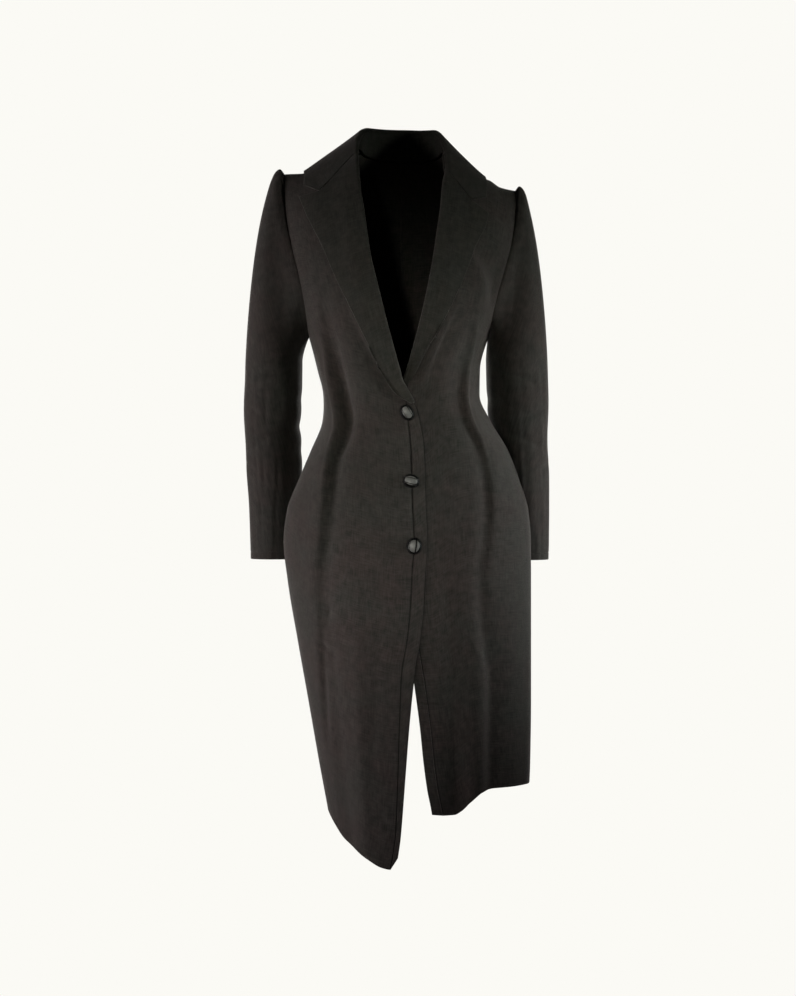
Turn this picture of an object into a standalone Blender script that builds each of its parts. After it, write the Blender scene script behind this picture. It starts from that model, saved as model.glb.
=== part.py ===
"""A fitted single-breasted overcoat, worn and hollow: notched lapels, set-in sleeves, three knot buttons.

Metres, +Z up, the front faces -Y, the wearer's right is at -X. The origin is level with the top of the
shoulders, midway between them, where the wearer's shoulders carry the coat. Every piece of cloth is a thin
wall whose outer face is worked out from the torso's sections, the edges of the pieces and a few folds.
"""

import math

import bpy
import numpy as np

for old in list(bpy.data.objects):
    bpy.data.objects.remove(old)

# Walls and seams
CLOTH = 0.0020
TURNED_CLOTH = 0.0026
SEAM_GAP = 0.0003
EASED_GAP = 0.0012
NECK_GAP = 0.0018
LAYER_GAP = 0.0009
COLLAR_GAP = 0.0012

# Torso sections: how far the cloth reaches to each side and to the front and back of the side seams
TORSO_COLUMNS = ("height", "right", "left", "front", "back")
TORSO = (
    (0.060, 0.190, 0.184, 0.080, 0.086),
    (0.000, 0.196, 0.192, 0.086, 0.096),
    (-0.063, 0.192, 0.189, 0.095, 0.104),
    (-0.126, 0.183, 0.182, 0.108, 0.107),
    (-0.170, 0.172, 0.170, 0.118, 0.105),
    (-0.205, 0.159, 0.157, 0.122, 0.101),
    (-0.245, 0.1460, 0.1390, 0.118, 0.095),
    (-0.300, 0.1300, 0.1240, 0.104, 0.084),
    (-0.340, 0.1190, 0.1235, 0.095, 0.077),
    (-0.379, 0.1230, 0.1405, 0.095, 0.079),
    (-0.427, 0.1420, 0.1690, 0.101, 0.092),
    (-0.474, 0.1620, 0.1870, 0.107, 0.106),
    (-0.521, 0.1800, 0.2010, 0.111, 0.117),
    (-0.569, 0.1855, 0.2050, 0.113, 0.121),
    (-0.632, 0.1790, 0.2054, 0.113, 0.118),
    (-0.727, 0.1630, 0.2054, 0.112, 0.111),
    (-0.822, 0.1460, 0.2054, 0.111, 0.104),
    (-0.916, 0.1295, 0.2040, 0.110, 0.098),
    (-1.011, 0.1120, 0.1990, 0.110, 0.093),
    (-1.100, 0.0980, 0.1950, 0.109, 0.090),
)
FRONT_SQUARENESS = 2.2
BACK_SQUARENESS = ((0.100, 2.2), (-0.300, 2.1), (-0.420, 1.9), (-0.520, 1.75), (-0.640, 1.75), (-0.850, 1.9))
SHOULDER_SQUARENESS = 2.2

# Shoulder line, seen from the front: (across, height)
SHOULDER = (
    (-0.210, 0.0070),
    (-0.180, 0.0095),
    (-0.158, 0.0100),
    (-0.130, 0.0190),
    (-0.100, 0.0330),
    (-0.071, 0.0500),
    (-0.040, 0.0760),
    (0.000, 0.0950),
    (0.040, 0.0730),
    (0.071, 0.0440),
    (0.100, 0.0205),
    (0.126, 0.0038),
    (0.140, -0.0010),
    (0.156, -0.0115),
    (0.172, -0.0155),
    (0.186, -0.0175),
    (0.210, -0.0190),
)
CHEST_HEIGHT = -0.120
UNDERARM_HEIGHT = -0.245
CHEST_ROW = 0.78
# How far up over the shoulder the back panels reach, in degrees, at each distance from the middle
BACK_NECK = ((0.000, 46.5), (0.030, 51.0), (0.055, 62.0), (0.066, 74.0), (0.0715, 90.0), (0.300, 90.0))

RIGHT, LEFT = -1, 1
FRONT, BACK = -1, 1

# Front of each armhole, seen from the front: (height, distance from the middle)
ARMHOLE = {
    RIGHT: ((0.040, 0.188), (-0.020, 0.1850), (-0.063, 0.1805), (-0.105, 0.1725), (-0.150, 0.1615),
            (-0.190, 0.1530), (-0.225, 0.1478), (UNDERARM_HEIGHT, 0.1460)),
    LEFT: ((0.040, 0.186), (-0.020, 0.1830), (-0.063, 0.1800), (-0.105, 0.1735), (-0.150, 0.1615),
           (-0.190, 0.1500), (-0.225, 0.1420), (UNDERARM_HEIGHT, 0.1390)),
}
# Front edge and, above the top button, the roll line of the lapel: (height, across)
FRONT_EDGE = {
    RIGHT: ((0.0700, -0.0675), (0.0362, -0.0671), (0.0064, -0.0651), (-0.0277, -0.0616), (-0.0605, -0.0567),
            (-0.0928, -0.0519), (-0.1269, -0.0471), (-0.1863, -0.0334), (-0.2468, -0.0183), (-0.3070, -0.0015),
            (-0.3235, 0.0030), (-0.3360, 0.0100), (-0.3605, 0.0228), (-0.3848, 0.0297), (-0.4290, 0.0362),
            (-0.5203, 0.0388), (-0.5660, 0.0408), (-0.6207, 0.0375), (-0.6694, 0.0350), (-0.7181, 0.0300),
            (-0.7607, 0.0225), (-0.8400, 0.0137), (-0.9160, 0.0076), (-0.9770, 0.0030), (-1.0225, -0.0008),
            (-1.0520, -0.0050), (-1.0900, -0.0120)),
    LEFT: ((0.0500, 0.0680), (0.0050, 0.0684), (-0.0110, 0.0649), (-0.0605, 0.0598), (-0.0928, 0.0550),
           (-0.1269, 0.0502), (-0.1863, 0.0395), (-0.2468, 0.0258), (-0.3070, 0.0092), (-0.3450, -0.0060),
           (-0.3700, -0.0110), (-0.4300, -0.0080), (-0.5200, -0.0020), (-0.6000, 0.0000), (-0.6600, 0.0030),
           (-0.7200, 0.0090), (-0.7866, 0.0198), (-0.8550, 0.0289), (-0.9008, 0.0335), (-0.9464, 0.0396),
           (-0.9770, 0.0457), (-1.0500, 0.0580)),
}
# Width of the band along each front edge, and of the turned edge above it: (height, width)
BAND_WIDTH = {
    RIGHT: ((0.100, 0.0040), (-0.3340, 0.0040), (-0.3605, 0.0140), (-0.3857, 0.0190), (-0.4300, 0.0210),
            (-0.7500, 0.0205), (-0.8400, 0.0155), (-0.9600, 0.0100), (-1.0300, 0.0080), (-1.1000, 0.0080)),
    LEFT: ((0.100, 0.0040), (-0.3050, 0.0040), (-0.3450, 0.0140), (-0.3800, 0.0170), (-1.1000, 0.0170)),
}
BAND_TOP = {RIGHT: -0.3390, LEFT: -0.3120}
TURNED_EDGE_START = {RIGHT: (-0.3660, -0.3520), LEFT: (-0.3520, -0.3380)}
TURNED_EDGE_INSET = 0.0040
# Hem, from the band's seam (0) round to the side seam (1): (share, height)
HEM = {
    (RIGHT, FRONT): ((-0.060, -1.0520), (-0.030, -1.0640), (0.000, -1.0700), (0.080, -1.0680),
                     (0.230, -1.0560), (0.400, -1.0420), (0.540, -1.0310), (0.720, -1.0090),
                     (0.850, -0.9980), (1.000, -0.9900)),
    (LEFT, FRONT): ((-0.080, -0.9845), (0.000, -0.9865), (0.080, -0.9860), (0.130, -0.9800),
                    (0.190, -0.9665), (0.280, -0.9520), (0.420, -0.9480), (0.640, -0.9480),
                    (1.000, -0.9510)),
    (RIGHT, BACK): ((0.000, -0.9680), (1.000, -0.9900)),
    (LEFT, BACK): ((0.000, -0.9680), (1.000, -0.9510)),
}
# Centre back seam and, below it, half the opening of the vent: (height, across, half width)
BACK_SEAM = ((0.200, 0.0, 0.0), (0.000, 0.0, 0.0), (-0.340, 0.0010, 0.0), (-0.600, 0.0090, 0.0),
             (-0.760, 0.0150, 0.0), (-0.790, 0.0165, 0.0030), (-0.860, 0.0205, 0.0120),
             (-0.980, 0.0270, 0.0270), (-1.050, 0.0300, 0.0300))

# Folds: a line down the panel, a ridge on it and a trough beside it towards the centre front
# (height, across, ridge, trough)
DART = {
    (RIGHT, FRONT): ((0.060, -0.125, 0.0, 0.0), (-0.120, -0.135, 0.0, 0.0), (-0.190, -0.129, 0.0005, 0.0),
                     (-0.245, -0.1210, 0.0022, 0.0015), (-0.296, -0.1130, 0.0048, 0.0035),
                     (-0.340, -0.1045, 0.0072, 0.0055), (-0.383, -0.0955, 0.0080, 0.0065),
                     (-0.412, -0.1010, 0.0078, 0.0060), (-0.445, -0.1145, 0.0062, 0.0048),
                     (-0.493, -0.1195, 0.0048, 0.0040), (-0.552, -0.1260, 0.0038, 0.0032),
                     (-0.635, -0.1300, 0.0022, 0.0028), (-0.722, -0.1220, 0.0014, 0.0024),
                     (-0.815, -0.1140, 0.0010, 0.0020), (-0.908, -0.1060, 0.0006, 0.0012),
                     (-1.070, -0.0900, 0.0, 0.0)),
    (LEFT, FRONT): ((0.060, 0.125, 0.0, 0.0), (-0.120, 0.130, 0.0, 0.0), (-0.195, 0.121, 0.0005, 0.0),
                    (-0.252, 0.1130, 0.0022, 0.0015), (-0.299, 0.1000, 0.0045, 0.0035),
                    (-0.340, 0.0965, 0.0065, 0.0050), (-0.378, 0.1040, 0.0072, 0.0055),
                    (-0.418, 0.1240, 0.0060, 0.0045), (-0.474, 0.1400, 0.0040, 0.0030),
                    (-0.536, 0.1430, 0.0020, 0.0022), (-0.617, 0.1350, 0.0008, 0.0030),
                    (-0.700, 0.1380, 0.0, 0.0038), (-0.780, 0.1500, 0.0, 0.0050),
                    (-0.880, 0.1500, 0.0, 0.0058), (-1.050, 0.1500, 0.0, 0.0060)),
    (RIGHT, BACK): ((0.060, -0.115, 0.0, 0.0), (-0.140, -0.100, 0.0, 0.0), (-0.245, -0.086, 0.0012, 0.0018),
                    (-0.345, -0.070, 0.0030, 0.0045), (-0.430, -0.080, 0.0022, 0.0035),
                    (-0.560, -0.098, 0.0, 0.0005), (-0.760, -0.075, 0.0040, 0.0030),
                    (-1.050, -0.055, 0.0075, 0.0060)),
    (LEFT, BACK): ((0.060, 0.115, 0.0, 0.0), (-0.140, 0.100, 0.0, 0.0), (-0.245, 0.086, 0.0012, 0.0018),
                   (-0.345, 0.074, 0.0030, 0.0045), (-0.430, 0.092, 0.0022, 0.0035),
                   (-0.560, 0.116, 0.0, 0.0005), (-0.760, 0.122, 0.0035, 0.0030),
                   (-1.050, 0.128, 0.0070, 0.0060)),
}
RIDGE_TO_CENTRE, RIDGE_TO_SIDE = 0.0085, 0.0180
TROUGH_AT, TROUGH_WIDTH = 0.0140, 0.0100
# Softer folds: panel, width and a line down it: (height, across, ridge)
SOFT_FOLDS = (
    ((LEFT, FRONT), 0.018,
     ((-0.540, 0.118, 0.0), (-0.660, 0.116, 0.0025), (-0.800, 0.117, 0.0050), (-1.050, 0.116, 0.0075))),
    ((RIGHT, FRONT), 0.026,
     ((-0.560, -0.060, 0.0), (-0.720, -0.066, 0.0025), (-0.900, -0.062, 0.0035), (-1.080, -0.050, 0.0030))),
    ((RIGHT, FRONT), 0.014, ((-0.820, -0.088, 0.0), (-0.930, -0.086, -0.0018), (-1.080, -0.074, -0.0030))),
    ((LEFT, FRONT), 0.020, ((-0.600, 0.066, 0.0), (-0.760, 0.074, -0.0028), (-1.050, 0.086, -0.0045))),
    ((RIGHT, BACK), 0.022, ((-0.620, -0.124, 0.0), (-0.800, -0.104, 0.0035), (-1.050, -0.080, -0.0060))),
    ((LEFT, BACK), 0.022, ((-0.620, 0.168, 0.0), (-0.800, 0.170, 0.0035), (-1.050, 0.172, 0.0070))),
)
# The left front lies under the right one: how deep, down the coat: (height, depth)
UNDERLAP = ((-1.100, 0.0034), (-0.480, 0.0034), (-0.370, 0.0090), (-0.290, 0.0098), (-0.120, 0.0))
UNDERLAP_REACH, UNDERLAP_FADE = 0.010, 0.060

# Lapels, seen from the front: outer edge up to the point, and the notch: (height, across)
LAPEL_EDGE = {
    RIGHT: ((-0.3570, 0.0140), (-0.3420, -0.0092), (-0.3140, -0.0275), (-0.2737, -0.0464), (-0.2163, -0.0745),
            (-0.1630, -0.1003), (-0.1103, -0.1224), (-0.0693, -0.1425), (-0.0354, -0.1566)),
    LEFT: ((-0.3350, 0.0062), (-0.3260, 0.0125), (-0.3150, 0.0205), (-0.2770, 0.0385), (-0.2390, 0.0593),
           (-0.1858, 0.0866), (-0.1073, 0.1178), (-0.0850, 0.1285), (-0.0633, 0.1333)),
}
GORGE_START = {RIGHT: (-0.0671, 0.0340), LEFT: (0.0684, 0.0040)}
NOTCH = {RIGHT: (-0.1290, -0.0227), LEFT: (0.1090, -0.0367)}
NOTCH_SHARE = 0.78
COLLAR_POINT = {RIGHT: (-0.1486, -0.0010), LEFT: (0.1340, -0.0250)}
ROLL_RADIUS = CLOTH / 2 + LAYER_GAP + TURNED_CLOTH
LAPEL_LIFT, LAPEL_LIFT_WIDTH = 0.0016, 0.020

# Collar: share of the way round from the right front (-1) to the left front (1), fold line and neck seam
# (share, fold x, y, z, outward x, y, z)
COLLAR_FOLD = (
    (-0.86, -0.0670, -0.0210, 0.0545, -0.46, -0.40, 0.79),
    (-0.68, -0.0630, 0.0020, 0.0755, -0.64, 0.06, 0.76),
    (-0.45, -0.0510, 0.0340, 0.0890, -0.74, 0.40, 0.54),
    (-0.22, -0.0290, 0.0560, 0.0915, -0.42, 0.88, 0.22),
    (0.00, 0.0000, 0.0640, 0.0920, 0.00, 0.98, 0.20),
    (0.22, 0.0290, 0.0550, 0.0895, 0.42, 0.88, 0.22),
    (0.45, 0.0515, 0.0330, 0.0855, 0.74, 0.40, 0.54),
    (0.68, 0.0630, 0.0000, 0.0670, 0.64, 0.06, 0.76),
    (0.86, 0.0675, -0.0270, 0.0400, 0.46, -0.40, 0.79),
)
# Outer edge of the collar: (share, across, degrees over the shoulder from the front)
COLLAR_EDGE = (
    (-1.00, -0.1486, 61.8), (-0.86, -0.1525, 78.0), (-0.68, -0.1440, 98.0), (-0.45, -0.1100, 118.0),
    (-0.22, -0.0560, 133.5), (0.00, 0.0000, 141.0), (0.22, 0.0500, 135.5), (0.45, 0.0960, 119.0),
    (0.68, 0.1240, 98.0), (0.86, 0.1320, 78.0), (1.00, 0.1340, 55.0),
)

# Sleeves: (height, centre across, centre behind the side seam, half width, half depth)
SLEEVE = {
    RIGHT: ((-0.285, -0.2015, 0.012, 0.0432, 0.0515), (-0.340, -0.2030, 0.022, 0.0445, 0.0505),
            (-0.379, -0.2046, 0.030, 0.0437, 0.0485), (-0.442, -0.2033, 0.042, 0.0425, 0.0450),
            (-0.505, -0.2028, 0.053, 0.0400, 0.0425), (-0.569, -0.2035, 0.064, 0.0380, 0.0410),
            (-0.600, -0.2038, 0.068, 0.0372, 0.0405)),
    LEFT: ((-0.285, 0.1840, 0.018, 0.0470, 0.0515), (-0.340, 0.1862, 0.034, 0.0480, 0.0500),
           (-0.400, 0.1900, 0.056, 0.0448, 0.0470), (-0.460, 0.1955, 0.077, 0.0418, 0.0440),
           (-0.530, 0.2005, 0.089, 0.0384, 0.0420), (-0.602, 0.2020, 0.095, 0.0368, 0.0405)),
}
SLEEVE_CAP_SHARE = 0.42
# Round the armhole from the shoulder (0) to the underarm (180): (degrees, outward pull, drop at the arm)
CAP_PULL = {
    RIGHT: ((0.0, 0.105, 0.330), (60.0, 0.090, 0.240), (110.0, 0.045, 0.120), (150.0, 0.014, 0.060),
            (180.0, 0.006, 0.040)),
    LEFT: ((0.0, 0.080, 0.300), (60.0, 0.080, 0.240), (110.0, 0.045, 0.120), (150.0, 0.014, 0.060),
           (180.0, 0.006, 0.040)),
}
CAP_PUFF = ((0.0, 0.0075), (40.0, 0.0070), (75.0, 0.0030), (120.0, 0.0), (180.0, 0.0))
PUFF_AT, PUFF_WIDTH, PUFF_START = 0.11, 0.12, 0.06
PUFF_OUT, PUFF_FORWARD = 0.35, 0.90
CAP_FORWARD = 0.25
CAP_ROWS = (0.0, 0.05, 0.11, 0.19, 0.30, 0.45, 0.62, 0.80, 1.0)
# Creases across the front and back of each elbow: (height, depth, degrees round the sleeve, spread)
ELBOW_CREASES = ((-0.350, 0.0022, 150.0, 55.0), (-0.392, 0.0030, 160.0, 60.0), (-0.432, 0.0022, 150.0, 50.0))
CREASE_WIDTH, CREASE_SLANT = 0.011, 0.010

# Buttons: (across, height, length, width, turn in degrees)
BUTTONS = ((0.0091, -0.3713, 0.0215, 0.0165, -58.0), (0.0152, -0.4762, 0.0215, 0.0170, -14.0),
           (0.0198, -0.5750, 0.0215, 0.0190, 84.0))
BUTTON_HEIGHT = 0.0078
HOLLOW_ALLOWANCE = 2.0
BUTTON_EDGE, BUTTON_BULGE = 0.0016, 1.06
DOME_TURNS = (0.15, 1.35)
GROOVE_DEPTH, GROOVE_WIDTH = 0.0026, 0.0017

COLOURS = {
    "cloth": ((0.030, 0.027, 0.026, 1.0), 0.88),
    "turned_cloth": ((0.020, 0.020, 0.018, 1.0), 0.85),
    "button": ((0.035, 0.034, 0.032, 1.0), 0.38),
}


# Curves through rows of numbers
def curve(rows, at, column=1):
    """The smooth curve through (position, value) rows, level beyond its ends."""
    table = np.array(sorted(rows), float)
    knots, values = table[:, 0], table[:, column]
    rise = np.diff(values) / np.diff(knots)
    slopes = np.concatenate([rise[:1], np.zeros(len(rise) - 1), rise[-1:]])
    for k in range(1, len(rise)):
        if rise[k - 1] * rise[k] > 0:
            slopes[k] = 2 * rise[k - 1] * rise[k] / (rise[k - 1] + rise[k])
    at = np.clip(at, knots[0], knots[-1])
    low = np.clip(np.searchsorted(knots, at) - 1, 0, len(knots) - 2)
    span = knots[low + 1] - knots[low]
    s = (at - knots[low]) / span
    start = (1 + 2 * s) * (1 - s) ** 2 * values[low] + s * (1 - s) ** 2 * span * slopes[low]
    end = s * s * (3 - 2 * s) * values[low + 1] + s * s * (s - 1) * span * slopes[low + 1]
    return start + end


def ease(at, start, end):
    """0 before start, 1 after end, and smooth between them."""
    s = np.clip((at - start) / (end - start), 0.0, 1.0)
    return s * s * (3 - 2 * s)


def bell(distance, width):
    return np.exp(-((distance / width) ** 2))


def unit(vectors):
    return vectors / np.maximum(np.linalg.norm(vectors, axis=-1, keepdims=True), 1e-12)


def rounded(share, squareness):
    """The other coordinate of a squared circle, keeping its sign past the quarter."""
    return np.maximum(1 - np.abs(share) ** squareness, 0.0) ** (1 / squareness)


# The torso that the panels lie on
def middle_and_half(height):
    right = curve(TORSO, height, TORSO_COLUMNS.index("right"))
    left = curve(TORSO, height, TORSO_COLUMNS.index("left"))
    return (left - right) / 2, (left + right) / 2


def depth(face, height):
    front = curve(TORSO, height, TORSO_COLUMNS.index("front"))
    back = curve(TORSO, height, TORSO_COLUMNS.index("back"))
    return np.where(face < 0, front, back)


def squareness(face, height):
    return np.where(face < 0, FRONT_SQUARENESS, curve(BACK_SQUARENESS, height))


def over_shoulder(x, height):
    """How far the surface has closed in towards the shoulder seam at a height: 1 at the chest, 0 on it."""
    top = curve(SHOULDER, x)
    return rounded(np.clip((height - CHEST_HEIGHT) / (top - CHEST_HEIGHT), 0.0, 1.0), SHOULDER_SQUARENESS)


def torso_y(face, x, height):
    middle, half = middle_and_half(height)
    across = np.clip((x - middle) / half, -1.0, 1.0)
    return face * depth(face, height) * rounded(across, squareness(face, height)) * over_shoulder(x, height)


def edge_x(side, height):
    return curve(FRONT_EDGE[side], height)


def seam_x(side, height):
    """Where the front panel starts: the band's seam, or the turned edge under the lapel."""
    return edge_x(side, height) + side * curve(BAND_WIDTH[side], height)


def inner_x(side, face, height):
    if face == FRONT:
        return seam_x(side, height)
    return curve(BACK_SEAM, height, 1) + side * curve(BACK_SEAM, height, 2)


def panel_place(side, face, u, v):
    """(across, y, height) on the plain torso: u runs from the panel's centre edge out, v from the hem up."""
    u, v = np.broadcast_arrays(np.asarray(u, float), np.asarray(v, float))
    rise = v / CHEST_ROW
    turn = np.maximum(v - CHEST_ROW, 0.0) / (1 - CHEST_ROW)

    def height_at(share, x):
        hem = curve(HEM[side, face], share)
        limit = curve(BACK_NECK, np.abs(x)) if face == BACK else 90.0
        lean = np.sin(np.radians(turn * limit))
        shoulder = CHEST_HEIGHT + (curve(SHOULDER, x) - CHEST_HEIGHT) * lean
        return np.where(v <= CHEST_ROW, hem + rise * (CHEST_HEIGHT - hem), shoulder)

    def settle(share, x_at):
        x = np.full(u.shape, side * 0.12)
        for _ in range(14):
            height = height_at(share, x)
            x = x_at(height)
        return x, height

    def angle(x, height):
        middle, half = middle_and_half(height)
        return np.arcsin(np.clip((x - middle) / half, -1.0, 1.0))

    x_in, height_in = settle(0.0, lambda height: inner_x(side, face, height))
    x_out, height_out = settle(1.0, lambda height: side * curve(ARMHOLE[side], height))
    angle_in = angle(x_in, height_in)
    angle_out = np.where(height_out <= UNDERARM_HEIGHT, side * math.pi / 2, angle(x_out, height_out))
    turned = angle_in + (angle_out - angle_in) * u

    def x_at(height):
        middle, half = middle_and_half(height)
        return middle + half * np.sin(turned)

    x, height = settle(np.clip(u, 0.0, 1.0), x_at)
    past_side = np.where(np.cos(turned) < 0, -1.0, 1.0)
    facing = face * past_side
    limit = curve(BACK_NECK, np.abs(x)) if face == BACK else 90.0
    lean = np.sin(np.radians(turn * limit))
    past_top = np.where(turn * limit > 90.0, -1.0, 1.0)
    closing = np.where(v <= CHEST_ROW, 1.0, rounded(lean, SHOULDER_SQUARENESS) * past_top)
    reach = depth(facing * past_top, height)
    y = facing * reach * rounded(np.sin(turned), squareness(facing * past_top, height)) * closing
    return x, y, height


def fold_height(side, face, x, height):
    """How far the folds push the cloth out, or pull it in, at a place on a panel."""
    dart = DART[side, face]
    q = side * (x - curve(dart, height, 1))
    width = np.where(q < 0, RIDGE_TO_CENTRE, RIDGE_TO_SIDE)
    total = curve(dart, height, 2) * bell(q, width)
    total = total - curve(dart, height, 3) * bell(q + TROUGH_AT, TROUGH_WIDTH)
    for panel, width, line in SOFT_FOLDS:
        if panel == (side, face):
            total = total + curve(line, height, 2) * bell(x - curve(line, height, 1), width)
    if (side, face) == (LEFT, FRONT):
        reach = edge_x(RIGHT, height) + UNDERLAP_REACH
        total = total - curve(UNDERLAP, height) * (1 - ease(x, reach, reach + UNDERLAP_FADE))
    return total


def front_surface(side, x, height, out=0.0):
    """Points on a front's outer face, moved out, and the direction out there."""
    step = 0.0005
    slope_x = (torso_y(FRONT, x + step, height) - torso_y(FRONT, x - step, height)) / (2 * step)
    slope_z = (torso_y(FRONT, x, height + step) - torso_y(FRONT, x, height - step)) / (2 * step)
    normal = unit(np.stack([slope_x, -np.ones_like(slope_x), slope_z], axis=-1))
    place = np.stack([x, torso_y(FRONT, x, height), height], axis=-1)
    lift = fold_height(side, FRONT, x, height) + out
    return place + normal * lift[..., None], normal


def panel_surface(side, face, u, v):
    """A panel's outer face with its folds, and the direction out."""
    step = 0.0004
    place = np.stack(panel_place(side, face, u, v), axis=-1)
    along_u = np.stack(panel_place(side, face, u + step, v), axis=-1)
    along_u = along_u - np.stack(panel_place(side, face, u - step, v), axis=-1)
    along_v = np.stack(panel_place(side, face, u, v + step), axis=-1)
    along_v = along_v - np.stack(panel_place(side, face, u, v - step), axis=-1)
    normal = unit(np.cross(along_u, along_v)) * side * -face
    lift = fold_height(side, face, place[..., 0], place[..., 2])
    return place + normal * lift[..., None], normal


# Meshes
def add_object(name, points, faces, material):
    mesh = bpy.data.meshes.new(name)
    mesh.from_pydata([tuple(map(float, p)) for p in points], [], faces)
    mesh.materials.append(materials[material])
    mesh.shade_smooth()
    mesh.set_sharp_from_angle(angle=math.radians(50))
    thing = bpy.data.objects.new(name, mesh)
    bpy.context.scene.collection.objects.link(thing)
    return thing


def wall(name, outer, inner, material, closed=False, flip=False):
    """A wall between two grids of points, rows by columns. A closed one joins its last column to its first."""
    rows, columns = outer.shape[:2]
    points = np.concatenate([outer.reshape(-1, 3), inner.reshape(-1, 3)])
    inside = rows * columns
    steps = columns if closed else columns - 1
    faces = []

    def quad(a, b, c, d):
        faces.append((d, c, b, a) if flip else (a, b, c, d))

    for i in range(rows - 1):
        for j in range(steps):
            k = (j + 1) % columns
            a, b, c, d = i * columns + j, i * columns + k, (i + 1) * columns + k, (i + 1) * columns + j
            quad(a, b, c, d)
            quad(inside + d, inside + c, inside + b, inside + a)
    for j in range(steps):
        k = (j + 1) % columns
        quad(j, inside + j, inside + k, k)
        a, b = (rows - 1) * columns + j, (rows - 1) * columns + k
        quad(b, inside + b, inside + a, a)
    if not closed:
        for i in range(rows - 1):
            a, b = i * columns, (i + 1) * columns
            quad(b, inside + b, inside + a, a)
            a, b = a + columns - 1, b + columns - 1
            quad(a, inside + a, inside + b, b)
    return add_object(name, points, faces, material)


materials = {}
for slot, (colour, roughness) in COLOURS.items():
    made = bpy.data.materials.new(slot)
    made.use_nodes = True
    shader = made.node_tree.nodes["Principled BSDF"]
    shader.inputs["Base Color"].default_value = colour
    shader.inputs["Roughness"].default_value = roughness
    shader.inputs["Metallic"].default_value = 0.0
    materials[slot] = made


# Fronts and backs
def fold_share(side, face, v):
    """Where the dart's line crosses each row, as a share of the way out, and the row's length."""
    share = np.full(v.shape, 0.75)
    for _ in range(6):
        x, _, height = panel_place(side, face, share, v)
        middle, half = middle_and_half(height)
        inner, _, _ = panel_place(side, face, 0 * v, v)
        outer, _, _ = panel_place(side, face, 0 * v + 1, v)
        wanted = np.arcsin(np.clip((curve(DART[side, face], height) - middle) / half, -1, 1))
        start = np.arcsin(np.clip((inner - middle) / half, -1, 1))
        end = np.arcsin(np.clip((outer - middle) / half, -1, 1))
        share = np.clip((wanted - start) / (end - start), *DART_SHARES)
    return share, half * np.abs(end - start)


def panel_rows(skirt_rows, body_rows, shoulder_rows):
    """Rows from the hem up: far apart in the skirt, closer at the waist and chest."""
    skirt = np.linspace(0.0, SKIRT_SHARE, skirt_rows)
    body = np.linspace(SKIRT_SHARE, 1.0, body_rows)[1:]
    shoulder = np.linspace(0.0, 1.0, shoulder_rows)[1:]
    return np.concatenate([skirt * CHEST_ROW, body * CHEST_ROW, CHEST_ROW + (1 - CHEST_ROW) * shoulder])


def panel(name, side, face, rows, plain_columns, beside, outer_columns):
    share, length = fold_share(side, face, rows)
    columns = []
    for middle, span in zip(share, length):
        near = middle + np.array(beside) / span
        first = np.linspace(0.0, near[0], plain_columns)[:-1]
        last = np.linspace(near[-1], 1.0, outer_columns)[1:]
        row = np.concatenate([first, near, last])
        row[0] += SEAM_GAP / 2 / span
        row[-1] -= SEAM_GAP / 2 / span
        columns.append(row)
    u = np.array(columns)
    v = np.repeat(rows[:, None], u.shape[1], axis=1)
    v[-1] -= SEAM_GAP / 2 / SHOULDER_RISE
    outer, normal = panel_surface(side, face, u, v)
    wall(name, outer, outer - normal * CLOTH, "cloth", flip=(side * face > 0))


DART_SHARES = (0.45, 0.86)
SKIRT_SHARE = 0.58
SHOULDER_RISE = 0.20
BESIDE_FRONT_DART = (-0.046, -0.028, -0.018, -0.009, 0.0, 0.009, 0.019)
BESIDE_BACK_DART = (-0.030, -0.015, 0.0, 0.016)
FRONT_ROWS = panel_rows(10, 16, 8)
BACK_ROWS = panel_rows(8, 11, 8)
panel("front_right", RIGHT, FRONT, FRONT_ROWS, 6, BESIDE_FRONT_DART, 4)
panel("front_left", LEFT, FRONT, FRONT_ROWS, 6, BESIDE_FRONT_DART, 4)
panel("back_right", RIGHT, BACK, BACK_ROWS, 5, BESIDE_BACK_DART, 5)
panel("back_left", LEFT, BACK, BACK_ROWS, 5, BESIDE_BACK_DART, 5)


# Bands along the front edges, row by row beside the fronts
def band(name, side):
    low_outer, low_inner = curve(HEM[side, FRONT], np.array([-0.06, 0.0]))
    turn_start, turn_end = TURNED_EDGE_START[side]
    top = BAND_TOP[side]
    heights = low_inner + FRONT_ROWS / CHEST_ROW * (CHEST_HEIGHT - low_inner)
    rows = []
    for height_inner in [*heights[heights < top - LAYER_GAP], top]:
        share = (height_inner - low_inner) / (top - low_inner)
        height_outer = low_outer + (top - low_outer) * share
        inset = TURNED_EDGE_INSET * float(ease(height_outer, turn_start, turn_end))
        x_outer = edge_x(side, height_outer) + side * inset
        x_inner = seam_x(side, height_inner) - side * SEAM_GAP / 2
        across = np.array([0.0, 0.5, 1.0])
        rows.append(np.stack([x_outer + (x_inner - x_outer) * across,
                              height_outer + (height_inner - height_outer) * across], axis=-1))
    place = np.array(rows)
    outer, normal = front_surface(side, place[..., 0], place[..., 1])
    wall(name, outer, outer - normal * CLOTH, "cloth", flip=(side < 0))


band("front_band_right", RIGHT)
band("front_band_left", LEFT)


# Lapels: each rolls round the front's edge and lies on the panel
def roll_frame(side, height):
    """On the turned edge: the middle of the front's wall, the way out and the way into the panel."""
    step = 0.0005
    x = edge_x(side, height) + side * TURNED_EDGE_INSET
    place, normal = front_surface(side, x, height)
    above, _ = front_surface(side, edge_x(side, height + step) + side * TURNED_EDGE_INSET, height + step)
    along = unit(above - place)
    into = unit(np.cross(along, normal)) * side
    return place - normal * CLOTH / 2, normal, into


def roll_points(middle, normal, into, radius, degrees):
    turn = math.radians(degrees)
    return middle + radius * (normal * math.cos(turn) - into * math.sin(turn))


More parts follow.
